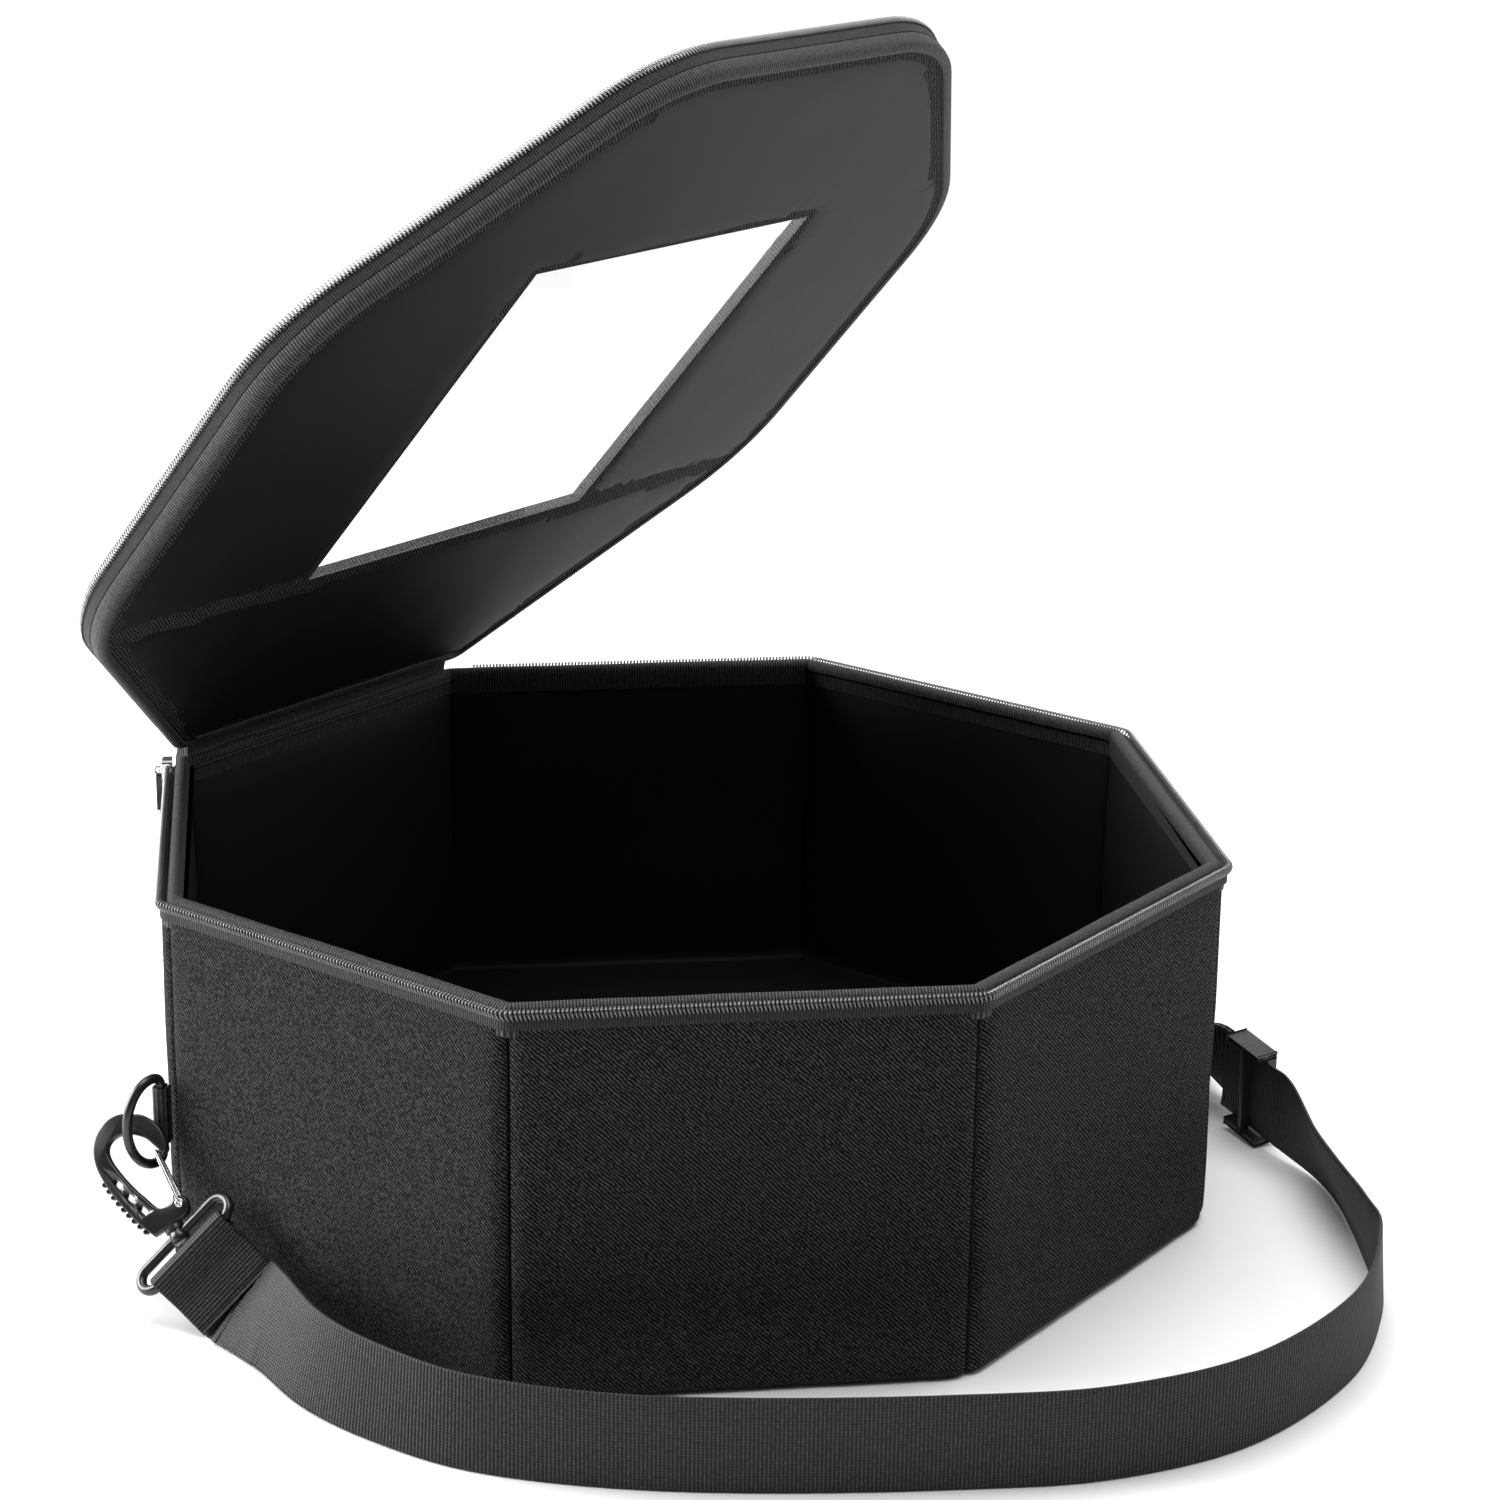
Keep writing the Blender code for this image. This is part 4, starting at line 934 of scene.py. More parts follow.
def zip_run(distances, outwards, radius, centre, cut):
    """Evenly spaced stations along a zip, with the direction along it."""
    run = plan_run(distances, outwards, radius, centre, cut)
    lengths = running_lengths(run, False)
    total = lengths[-1]
    count = int(total / TEETH_PITCH)
    stations = []
    segment = 0
    for index in range(count):
        want = (index + 0.5) * total / count
        while lengths[segment + 1] < want:
            segment += 1
        start = run[segment]
        end = run[segment + 1]
        share = (want - lengths[segment]) / (lengths[segment + 1] - lengths[segment])
        stations.append((start.lerp(end, share), (end - start).normalized()))
    return stations


def box_zip(materials):
    """Tape and coil outside the rim."""
    cut = ZIP_END_INSET - HALF_WIDTH
    sides = [HALF_WIDTH] * SIDES
    tape = [(-0.0010, 0.1600), (0.0009, 0.1600), (0.0010, 0.1650), (0.0004, 0.1658), (-0.0012, 0.1656)]
    rings = strip_rings(sides, tape, RIM_RADII, cut=cut, spacing=0.012)
    band = skin("box_tape", rings, materials["tape"])
    dress(band, "box", "binding", "box_zip_tape")
    paths = []
    for point, along in zip_run(sides, 0.0006, RIM_RADII, Vector((0, 0, 0)), cut):
        out = Vector((along.y, -along.x, 0))
        paths.append([
            point + along * 0.00085 + UP * 0.1642 + out * 0.0006,
            point + along * 0.00060 + UP * 0.1653 + out * 0.0016,
            point + along * 0.00010 + UP * 0.1666 + out * 0.0020,
            point - along * 0.00005 + UP * 0.1676 + out * 0.0015,
            point + UP * 0.1682 + out * 0.0006,
            point + along * 0.0001 + UP * 0.1674 - out * 0.0004,
        ])
    radii = (0.8, 1.0, 0.9, 1.35, 1.45, 0.7)
    teeth = many_wires("box_teeth", paths, TOOTH_WIRE, materials["teeth"], 6, radii)
    dress(teeth, "box", "zip", "box_zip_coil")


# Lid

def lid_outline(inset, steps=11):
    """Rounded outline of the lid in lid space."""
    corners = plan_corners(lid_sides(inset), LID_CENTRE)
    return rounded_run(corners, lid_radii(inset), steps)


def window_corners(margin=0.0):
    """Corners of the window, in lid space, anticlockwise from above."""
    low = WINDOW_START - margin
    high = WINDOW_START + WINDOW_LENGTH + margin
    half = WINDOW_WIDTH / 2 + margin
    return [Vector((low, -half, 0)), Vector((high, -half, 0)), Vector((high, half, 0)),
            Vector((low, half, 0))]


def clipped(points, limit, keep_low):
    """Clip a plan polygon at u = limit."""
    kept = []
    count = len(points)
    for index, point in enumerate(points):
        after = points[(index + 1) % count]
        inside = (point.x <= limit) == keep_low
        inside_after = (after.x <= limit) == keep_low
        if inside:
            kept.append(point.copy())
        if inside != inside_after:
            share = (limit - point.x) / (after.x - point.x)
            kept.append(point.lerp(after, share))
    return kept


def slab_grid(name, outline, hole, surface, underside, material, spacing=0.012):
    """A padded slab with an outline and an optional hole, its face height given by a function."""
    builder = bmesh.new()
    layer = builder.loops.layers.uv.new("UVMap")
    edges = []
    for loop in [outline] + ([hole] if hole else []):
        dense = densify(loop, spacing, True)
        verts = [builder.verts.new(point) for point in dense]
        for index, vert in enumerate(verts):
            edges.append(builder.edges.new((vert, verts[(index + 1) % len(verts)])))
    bmesh.ops.triangle_fill(builder, use_beauty=True, edges=edges)
    if hole:
        remove_inside(builder, hole)
    refine(builder, spacing)
    faces = list(builder.faces)
    low = {vert: builder.verts.new(underside(vert.co)) for vert in builder.verts[:]}
    rims = [edge for edge in builder.edges if len(edge.link_faces) == 1]
    for face in faces:
        builder.faces.new([low[vert] for vert in reversed(face.verts)])
    for edge in rims:
        a, b = edge.verts
        builder.faces.new((a, b, low[b], low[a]))
    for vert in low:
        vert.co = surface(vert.co)
    for face in builder.faces:
        for loop in face.loops:
            loop[layer].uv = (loop.vert.co.x, loop.vert.co.y)
    for vert in builder.verts:
        vert.co = LID_FRAME @ vert.co
    return finish_mesh(name, builder, material, 50)


def remove_inside(builder, hole):
    """Drop the faces that fill a rectangular hole."""
    low = min(point.x for point in hole)
    high = max(point.x for point in hole)
    left = min(point.y for point in hole)
    right = max(point.y for point in hole)
    inside = []
    for face in builder.faces:
        middle = face.calc_center_median()
        if low < middle.x < high and left < middle.y < right:
            inside.append(face)
    bmesh.ops.delete(builder, geom=inside, context="FACES_ONLY")
    loose = [edge for edge in builder.edges if not edge.link_faces]
    bmesh.ops.delete(builder, geom=loose, context="EDGES")


def refine(builder, spacing):
    """Cut long edges so that the slab can carry soft forms."""
    for _ in range(5):
        long_edges = [edge for edge in builder.edges if edge.calc_length() > spacing * 1.4]
        if not long_edges:
            return
        bmesh.ops.subdivide_edges(builder, edges=long_edges, cuts=1)
        bmesh.ops.triangulate(builder, faces=builder.faces)


def edge_distance(point, outline):
    """Distance from a point to the nearest side of a closed outline."""
    best = 1.0
    count = len(outline)
    for index, start in enumerate(outline):
        end = outline[(index + 1) % count]
        side = end - start
        share = max(0.0, min(1.0, (point - start).dot(side) / max(side.length_squared, 1e-12)))
        best = min(best, (point - start - side * share).length)
    return best


def lid_board(material):
    """Outer side of the lid: padded board, rolled at the edge and at the window."""
    outline = lid_outline(0.0017)
    hole = window_corners()
    floor = LID_UNDERSIDE + 0.0018

    def face(point):
        flat = Vector((point.x, point.y, 0))
        fall = round_off(edge_distance(flat, outline), BOARD_ROLL)
        fall += round_off(edge_distance(flat, hole), BOARD_WINDOW_ROLL) * 0.8
        crown = 0.0008 + ripple(flat, 14, 0.0007)
        return flat + UP * (LID_TOP - min(fall, 0.005) + crown * (1 if fall == 0 else 0.4))

    def under(point):
        return Vector((point.x, point.y, floor))

    board = slab_grid("lid_board", outline, hole, face, under, material, LID_GRID)
    return dress(board, "lid", "cloth", "lid_panel")


def lid_lining(name, node, outline, hole, material):
    """One piece of the lid's padded lining, its face towards the box."""
    seat = LID_UNDERSIDE + 0.0036

    def face(point):
        flat = Vector((point.x, point.y, 0))
        near = edge_distance(flat, outline)
        fall = round_off(near, 0.005)
        if hole:
            near_hole = edge_distance(flat, hole)
            fall = max(fall, round_off(near_hole, 0.0022) * 0.7)
        swell = 0.0010 + ripple(flat, 11, 0.0011) + ripple(flat, 34, 0.0003)
        return flat + UP * (LID_UNDERSIDE + 0.0017 + min(fall, 0.0013) - swell * min(1, near / 0.02) * 0.5)

    def under(point):
        return Vector((point.x, point.y, seat))

    piece = slab_grid(name, outline, hole, face, under, material, LID_GRID)
    return dress(piece, "lid", "lining", node)


def lid_linings(material):
    """Two lining pieces that meet in a sewn seam before the window."""
    outline = lid_outline(0.0048)
    near = clipped(outline, SEAM_AT - 0.0002, True)
    far = clipped(outline, SEAM_AT + 0.0002, False)
    lid_lining("lining_near", "lid_lining_near", near, None, material)
    lid_lining("lining_far", "lid_lining_far", far, window_corners(), material)


def lid_binding(materials):
    """Ribbed binding that wraps the lid's edge."""
    depth = LID_UNDERSIDE + 0.0030
    under = LID_UNDERSIDE + 0.0011
    profile = [
        (-0.0052, depth), (-0.0054, under + 0.0006), (-0.0048, under), (-0.0030, under - 0.0004),
        (-0.0012, under + 0.0002), (-0.0003, under + 0.0012), (0.0, under + 0.003),
        (0.0001, LID_TOP - 0.002), (-0.0003, LID_TOP), (-0.0012, LID_TOP + 0.0006),
        (-0.0022, LID_TOP + 0.0003), (-0.0024, LID_TOP - 0.002), (-0.0016, depth + 0.001),
    ]
    rings = strip_rings(lid_sides(), profile, lid_radii(), LID_CENTRE, spacing=0.012)
    strip = skin("lid_edge_binding", to_lid(rings), materials["binding"], along_closed=True)
    dress(strip, "lid", "binding", "lid_binding")


def lid_zip(materials):
    """Tape and teeth that stand behind the lid's edge."""
    cut = ZIP_END_INSET
    low = LID_TOP - 0.0004
    high = LID_TOP + GAP + LID_TAPE_HEIGHT
    tape = [(-0.0012, low), (0.0001, low), (0.0003, low + 0.003), (0.0002, high), (-0.0009, high)]
    rings = strip_rings(lid_sides(), tape, lid_radii(), LID_CENTRE, cut, 0.012)
    band = skin("lid_tape", to_lid(rings), materials["tape"])
    dress(band, "lid", "binding", "lid_zip_tape")
    paths = []
    for point, along in zip_run(lid_sides(), -0.0004, lid_radii(), LID_CENTRE, cut):
        out = Vector((along.y, -along.x, 0))
        shape = [
            point + along * 0.0007 + UP * (high - 0.0014) + out * 0.0010,
            point + along * 0.0003 + UP * (high + 0.0002) + out * 0.0011,
            point + UP * (high + 0.0018) + out * 0.0006,
            point + UP * (high + 0.0024),
            point + along * 0.0001 + UP * (high + 0.0016) - out * 0.0007,
            point + along * 0.0004 + UP * (high - 0.0004) - out * 0.0008,
        ]
        paths.append([LID_FRAME @ p for p in shape])
    teeth = many_wires("lid_teeth", paths, TOOTH_WIRE, materials["teeth"])
    dress(teeth, "lid", "zip", "lid_zip_coil")


def window(materials):
    """Clear sheet in the window, faintly wavy."""
    columns = 24
    low = WINDOW_START + GAP
    high = WINDOW_START + WINDOW_LENGTH - GAP
    half = WINDOW_WIDTH / 2 - GAP
    level = LID_UNDERSIDE + 0.0021
    rings = []
    for i in range(columns + 1):
        u = low + (high - low) * i / columns
        ring = []
        for j in range(columns + 1):
            v = -half + 2 * half * j / columns
            rim = min(1.0, min(u - low, high - u, half - abs(v)) / 0.02)
            ring.append(Vector((u, v, level + 0.0004 + ripple(Vector((u, v, 0)), 13, 0.0009) * rim)))
        ring += [point - UP * 0.0006 for point in reversed(ring)]
        rings.append(ring)
    sheet = skin("window_vinyl", to_lid(rings), materials["vinyl"], sharp=70)
    dress(sheet, "lid", "clear", "window_sheet")


# Hinge

def hinge_cloth(materials):
    """Ribbed cloth that folds over the hinge, from the rim to the lid."""
    half = (HALF_WIDTH - HINGE_CLOTH_SHORT) * HALF_TURN
    lid_side = LID_FRAME.to_3x3()
    up_lid = lid_side @ Vector((1, 0, 0))
    out_lid = lid_side @ UP
    outer = [
        Vector((-HALF_WIDTH - 0.0016, 0, 0.150)),
        Vector((-HALF_WIDTH - 0.0024, 0, 0.152)),
        Vector((-HALF_WIDTH - 0.0022, 0, 0.1650)),
        LID_AXIS + Vector((-0.0043, 0, -0.0010)),
        LID_AXIS + out_lid * 0.0052 + up_lid * 0.0006,
        LID_AXIS + out_lid * (LID_TOP + 0.0019) + up_lid * 0.007,
        LID_AXIS + out_lid * (LID_TOP + 0.0019) + up_lid * 0.017,
    ]
    inner = [
        Vector((-HALF_WIDTH + 0.0014, 0, 0.150)),
        Vector((-HALF_WIDTH + 0.0020, 0, 0.158)),
        Vector((-HALF_WIDTH + 0.0085, 0, 0.1660)),
        LID_AXIS + Vector((0.0024, 0, -0.0026)),
        LID_AXIS + up_lid * 0.0030 - out_lid * 0.0012,
        LID_AXIS + up_lid * 0.007 + out_lid * 0.0002,
        LID_AXIS + up_lid * 0.016 + out_lid * 0.001,
    ]
    outline = smooth_line(outer, 4) + list(reversed(smooth_line(inner, 4)))
    rings = []
    count = 60
    for k in range(count + 1):
        y = -half + 2 * half * k / count
        ring = []
        for point in outline:
            wave = ripple(Vector((point.x, y, point.z)), 45, 0.0005)
            ring.append(Vector((point.x + wave, y, point.z + wave)))
        rings.append(ring)
    cloth = skin("hinge_cloth", rings, materials["binding"], sharp=70)
    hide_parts("hinge_fold")
    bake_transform(cloth)
    hinge_seams(materials, half, up_lid, out_lid)


def hinge_seams(materials, half, up_lid, out_lid):
    """Piped seams beside the fold, one on the lid and one inside the rim."""
    on_lid = LID_AXIS + up_lid * 0.0105 - out_lid * 0.0012
    on_rim = Vector((-HALF_WIDTH + 0.0092, 0, 0.1640))
    places = (("lid_piping", "lid", on_lid, PIPING_RADIUS_ON_LID),
              ("rim_piping", "box", on_rim, PIPING_RADIUS_ON_RIM))
    for name, body, spot, radius in places:
        points = []
        for k in range(41):
            y = -half + 2 * half * k / 40
            points.append(Vector((spot.x, y, spot.z)) + out_lid * ripple(Vector((y, 0, 0)), 60, 0.0004))
        dress(wire(name, points, radius, materials["binding"], 10, closed=False), body, "binding")


def smooth_line(points, steps):
    """A smooth open curve through points."""
    made = []
    count = len(points)
    for index in range(count - 1):
        before = points[max(index - 1, 0)]
        start = points[index]
        end = points[index + 1]
        after = points[min(index + 2, count - 1)]
        for step in range(steps):
            made.append(smooth_between(before, start, end, after, step / steps))
    made.append(points[-1].copy())
    return made


def smooth_between(before, start, end, after, share):
    """A point of the smooth curve through four points."""
    return 0.5 * (
        2 * start + (end - before) * share
        + (2 * before - 5 * start + 4 * end - after) * share ** 2
        + (3 * start - before - 3 * end + after) * share ** 3
    )


# Zip slider

def slider_frame():
    """Seat of the slider by the hinge corner: point on the wall, along the zip, and outwards."""
    side = HINGE_SIDE + 1
    corners = plan_corners([HALF_WIDTH] * SIDES)
    along = (corners[(side + 1) % SIDES] - corners[side]).normalized()
    return corners[side] + along * SLIDER_FROM_CORNER, along, side_normal(side)


def staple_centre():
    """Middle of the slider's bar, which the pull swings on."""
    point, _, outwards = slider_frame()
    return point + outwards * (GAP + SLIDER_DEPTH + STAPLE_REACH) + UP * (RIM_HEIGHT - SLIDER_HEIGHT / 2)


def zip_slider(materials):
    """Slider body with a rounded plate and a bridge, and the pull with its bright end."""
    point, along, outwards = slider_frame()
    axes = (along, outwards, UP)
    steel = materials["steel"]
    bar = staple_centre()
    middle = point + outwards * (GAP + SLIDER_DEPTH / 2) + UP * (RIM_HEIGHT - SLIDER_HEIGHT / 2)
    halves = (SLIDER_LENGTH / 2, SLIDER_DEPTH / 2, SLIDER_HEIGHT / 2)
    body = rounded_block("slider_body", middle, axes, halves, SLIDER_ROUNDING, steel)
    dress(body, "box", "steel", "zip_slider")
    reach = along * STAPLE_HALF_WIDTH
    seat = outwards * (STAPLE_REACH + SLIDER_DEPTH / 2)
    corners = [bar - reach - seat, bar - reach, bar + reach, bar + reach - seat]
    bridge = rounded_run(corners, STAPLE_BEND, 6, closed=False)
    dress(wire("slider_bridge", bridge, STAPLE_WIRE, steel, 12, closed=False), "box", "steel")
    eye = circle(bar, outwards, UP, PULL_EYE_RADIUS, 24)
    dress(wire("pull_eye", eye, PULL_EYE_WIRE, steel, 10), "pull", "steel")
    halves = (PULL_WIDTH / 2, PULL_THICKNESS / 2, TONGUE_LENGTH / 2)
    tongue = rounded_block("pull_tongue", bar - UP * TONGUE_DROP, axes, halves, TONGUE_ROUNDING,
                           materials["metal"])
    dress(tongue, "pull", "black_metal", "zip_pull")
    half = PULL_WIDTH / 2 - PULL_LOOP_WIRE
    low = bar - UP * (PULL_LENGTH - PULL_LOOP_WIRE)
    high = bar - UP * PULL_LOOP_DROP
    corners = [low - along * half, low + along * half, high + along * half, high - along * half]
    loop = wire("pull_loop", rounded_run(corners, PULL_LOOP_BEND, 6), PULL_LOOP_WIRE, steel, 12)
    dress(loop, "pull", "steel")


# Corner fittings and strap

class Corner:
    """A corner's frame: outwards, along the wall towards the strap, and up, from the floor."""

    def __init__(self, tag, index, hand):
        angle = -math.pi / 2 + SIDE_STEP * (index - 0.5)
        self.tag = tag
        self.hand = hand
        self.out = Vector((math.cos(angle), math.sin(angle), 0))
        self.along = Vector((-self.out.y, self.out.x, 0)) * hand
        self.origin = self.out * (HALF_WIDTH * CORNER_SHARE)

    def direction(self, parts):
        """A unit direction from its (out, along, up) parts."""
        return (self.out * parts[0] + self.along * parts[1] + UP * parts[2]).normalized()

    def swing(self):
        """Direction in which the ring stands out of its tab."""
        angle = math.radians(RING_SWING_DEG)
        return self.out * math.cos(angle) + self.along * math.sin(angle)


def corner_fittings():
    """The two corners that carry the strap, mirror images of each other across the box."""
    return Corner("front", 0, 1), Corner("back", SIDES // 2, -1)


def ring_point(corner, angle):
    """A point on the round side of the ring."""
    round_reach = RING_REACH - RING_CORNER
    out = RING_BAR_OUT + RING_CORNER + round_reach * math.cos(angle)
    height = RING_LEVEL + RING_HALF_HEIGHT * math.sin(angle)
    return corner.origin + corner.swing() * out + UP * height


def ring_points(corner):
    """Path of the D ring: its round side, two small corners and the straight bar."""
    points = [ring_point(corner, math.radians(-90 + 5 * step)) for step in range(37)]
    bar = corner.origin + corner.swing() * RING_BAR_OUT
    centre = corner.origin + corner.swing() * (RING_BAR_OUT + RING_CORNER)
    for sign in (1, -1):
        middle = centre + UP * (RING_LEVEL + sign * (RING_HALF_HEIGHT - RING_CORNER))
        turns = (18, 36, 54, 72, 90) if sign > 0 else (90, 72, 54, 36, 18)
        for turn in turns:
            a = math.radians(turn)
            points.append(middle + (UP * sign * math.cos(a) - corner.swing() * math.sin(a)) * RING_CORNER)
        if sign > 0:
            points.append(bar + UP * RING_LEVEL)
    return points


def fold_path(start, run, face, length, bend, half_gap, ease):
    """Down one layer to a bar at the start point, round it, and back along the other layer."""
    steps = 5
    layer = []
    for step in range(steps):
        x = length * (1 - step / steps)
        share = min(1.0, x / ease)
        y = half_gap + (bend - half_gap) * (1 + math.cos(math.pi * share)) / 2
        layer.append((x, y))
    bow = []
    for step in range(7):
        a = math.pi / 2 + math.pi * step / 6
        bow.append((bend * math.cos(a), bend * math.sin(a)))
    back = [(x, -y) for x, y in reversed(layer)]
    return [start + run * x + face * y for x, y in layer + bow + back]


def resampled(frames, spacing):
    """Evenly spaced frames of (centre, across) along a smooth curve through frames."""
    fine = []
    count = len(frames)
    for index in range(count - 1):
        four = [frames[max(0, min(count - 1, index + k))] for k in (-1, 0, 1, 2)]
        pieces = 6
        for step in range(pieces):
            share = step / pieces
            centre = smooth_between(*(f[0] for f in four), share)
            fine.append((centre, four[1][1].lerp(four[2][1], share).normalized()))
    fine.append(frames[-1])
    lengths = running_lengths([f[0] for f in fine], False)
    total = max(2, round(lengths[-1] / spacing))
    made = []
    segment = 0
    for index in range(total + 1):
        want = min(lengths[-1] * index / total, lengths[-1] - 1e-9)
        while lengths[segment + 1] <= want:
            segment += 1
        share = (want - lengths[segment]) / (lengths[segment + 1] - lengths[segment])
        start = fine[segment]
        end = fine[segment + 1]
        made.append((start[0].lerp(end[0], share), start[1].lerp(end[1], share).normalized()))
    return made


def ribbed_band(name, frames, width, thickness, material, dips=()):
    """Webbing with raised ribs across it and firm rounded edges."""
    spacing = STRAP_RIB_PITCH / 4
    stations = resampled(frames, spacing)
    half = width / 2
    spots = [-1, -0.985, -0.93, -0.5, 0, 0.5, 0.93, 0.985, 1]
    body = [0.45, 0.85, 1, 1, 1, 1, 1, 0.85, 0.45]
    rings = []
    for index, (centre, across) in enumerate(stations):
        after = stations[min(index + 1, len(stations) - 1)][0]
        before = stations[max(index - 1, 0)][0]
        along = (after - before).normalized()
        square = (across - along * across.dot(along)).normalized()
        face = along.cross(square)
        length = index * spacing
        rib = (0.0, STRAP_RIB_DEPTH * 0.8, STRAP_RIB_DEPTH, STRAP_RIB_DEPTH * 0.8)[index % 4]
        press = 0.0
        for dip in dips:
            press = max(press, 0.0004 * math.exp(-((length - dip) / 0.0009) ** 2))
        lift = thickness / 2 - STRAP_RIB_DEPTH * 0.6 + rib - press
        top = [centre + square * (s * half) + face * (lift * b) for s, b in zip(spots, body)]
        low = [centre + square * (s * half) - face * (lift * b) for s, b in zip(spots, body)]
        rings.append(top + list(reversed(low)))
    return skin(name, rings, material, sharp=80, lengths=[spacing * k for k in range(len(rings))])


class HookFrame:
    """Where a hook hangs: up its length from the swivel, across towards the gate, and its face."""

    def __init__(self, corner):
        self.corner = corner
        self.up = corner.direction(HOOK_AXIS)
        face = corner.direction(HOOK_FACE)
        self.face = (face - self.up * face.dot(self.up)).normalized()
        self.across = self.up.cross(self.face) * corner.hand
        bearing = ring_point(corner, math.radians(HOOK_HANG_DEG))
        self.origin = (bearing - self.up * HOOK_LENGTH * HOOK_BEARING_SHARE
                       - self.across * HOOK_BEARING_ACROSS)

    def at(self, up, across, out=0.0):
        """A point by lengths in metres."""
        return self.origin + self.up * up + self.across * across + self.face * out

    def share(self, row, out=0.0):
        """A point by shares of the hook's length and width."""
        return self.at(row[0] * HOOK_LENGTH, row[1] * HOOK_WIDTH, out)


def hook_outline():
    """Outline of the hook as smooth points."""
    rows = [Vector((row["up"] * HOOK_LENGTH, row["across"] * HOOK_WIDTH)) for row in HOOK_OUTLINE]
    count = len(rows)
    smooth = []
    for index in range(count):
        four = [rows[(index + k) % count] for k in (-1, 0, 1, 2)]
        sharp = index in (0, count - 1, 14, 15)
        for step in range(1 if sharp else 4):
            smooth.append(smooth_between(*four, step / 4))
    return smooth


def ridge_paths(frame):
    """Short ridges across the hook's spine."""
    paths = []
    start = Vector((0.125 * HOOK_LENGTH, -0.345 * HOOK_WIDTH))
    end = Vector((0.60 * HOOK_LENGTH, -0.503 * HOOK_WIDTH))
    bow = Vector((0, -0.030 * HOOK_WIDTH))
    half = HOOK_THICKNESS / 2 - 0.0009
    for index in range(HOOK_RIDGES):
        share = index / (HOOK_RIDGES - 1)
        spot = start.lerp(end, share) + bow * 4 * share * (1 - share)
        paths.append([frame.at(spot.x, spot.y, -half), frame.at(spot.x, spot.y - 0.0003, 0),
                      frame.at(spot.x, spot.y, half)])
    return paths


def hook_body(frame, materials):
    """The snap hook: smooth edges, three thumb slots and a ridged spine."""
    tag = frame.corner.tag
    half = HOOK_THICKNESS / 2
    outline = hook_outline()
    rings = [[frame.at(p.x, p.y, out) for p in outline] for out in (-half, half)]
    hook = skin(f"hook_body_{tag}", rings, materials["metal"], sharp=45)
    soften_rims(hook, frame.face, half)
    for row in HOOK_SLOTS:
        cutter = slot_cutter(frame, row, materials["metal"])
        modifier = hook.modifiers.new("slot", "BOOLEAN")
        modifier.operation = "DIFFERENCE"
        modifier.object = cutter
        bake(hook)
        bpy.data.objects.remove(cutter, do_unlink=True)
    node = f"clip_hook_{tag}"
    dress(hook, f"{tag}_hook", "black_metal", node)
    ridges = many_wires(f"hook_ridges_{tag}", ridge_paths(frame), HOOK_RIDGE_WIRE, materials["metal"], 8)
    dress(ridges, f"{tag}_hook", "black_metal")
    base = HOOK_BASE_SHARE * HOOK_LENGTH
    post = [frame.at(base - SWIVEL_SOCKET_DEPTH, 0), frame.at(base + 0.0012, 0)]
    pin = wire(f"hook_post_{tag}", post, SWIVEL_POST_RADIUS, materials["metal"], 20, closed=False)
    dress(pin, f"{tag}_hook", "black_metal")


def soften_rims(thing, face, half):
    """Round the edges between the flat faces and the sides."""
    builder = bmesh.new()
    builder.from_mesh(thing.data)
    rims = [edge for edge in builder.edges
            if abs((edge.verts[0].co - edge.verts[1].co).dot(face)) < half]
    bmesh.ops.bevel(builder, geom=rims, offset=0.0008, segments=2, profile=0.5, affect="EDGES")
    builder.to_mesh(thing.data)
    builder.free()
    thing.data.shade_smooth()
    thing.data.set_sharp_from_angle(angle=math.radians(45))


def bake(thing):
    """Put the result of the modifiers into the mesh."""
    graph = bpy.context.evaluated_depsgraph_get()
    thing.data = bpy.data.meshes.new_from_object(thing.evaluated_get(graph))
    thing.modifiers.clear()


def slot_cutter(frame, row, material):
    """A rounded slot through the hook."""
    lean = math.radians(17)
    length = HOOK_SLOT_LENGTH * 0.46
    width = HOOK_SLOT_WIDTH * 0.44
    corners = [Vector((-length - 0.0005, -width, 0)), Vector((length - 0.0005, -width, 0)),
               Vector((length + 0.0005, width, 0)), Vector((-length + 0.0005, width, 0))]
    shape = rounded_run(corners, 0.0007, 3)
    rings = []
    for out in (-HOOK_THICKNESS, HOOK_THICKNESS):
        ring = []
        for p in shape:
            up = row["up"] * HOOK_LENGTH + p.x * math.cos(lean) + p.y * math.sin(lean)
            across = row["across"] * HOOK_WIDTH - p.x * math.sin(lean) + p.y * math.cos(lean)
            ring.append(frame.at(up, across, out))
        rings.append(ring)
    return skin("slot_cutter", rings, material)


def hook_gate(frame, material):
    """Two sprung wires that end in small eyes."""
    tag = frame.corner.tag
    foot = HOOK_THICKNESS / 2 + GAP + GATE_WIRE
    corners = [
        frame.share(GATE_TIP_SHARE, GATE_TIP_HALF_WIDTH), frame.share(GATE_TIP_SHARE, -GATE_TIP_HALF_WIDTH),
        frame.share(GATE_PIVOT_SHARE, -foot), frame.share(GATE_PIVOT_SHARE, foot),
    ]
    loop = wire(f"gate_wire_{tag}", rounded_run(corners, GATE_WIRE * 1.4, 7), GATE_WIRE, material, 14)
    dress(loop, f"{tag}_gate", "steel", f"clip_gate_{tag}")
    for number, out in enumerate((foot, -foot)):
        eye = circle(frame.share(GATE_PIVOT_SHARE, out), frame.up, frame.across, GATE_EYE_RADIUS, 20)
        ring = wire(f"gate_eye_{tag}_{number}", eye, GATE_EYE_WIRE, material, 10)
        dress(ring, f"{tag}_gate", "steel")


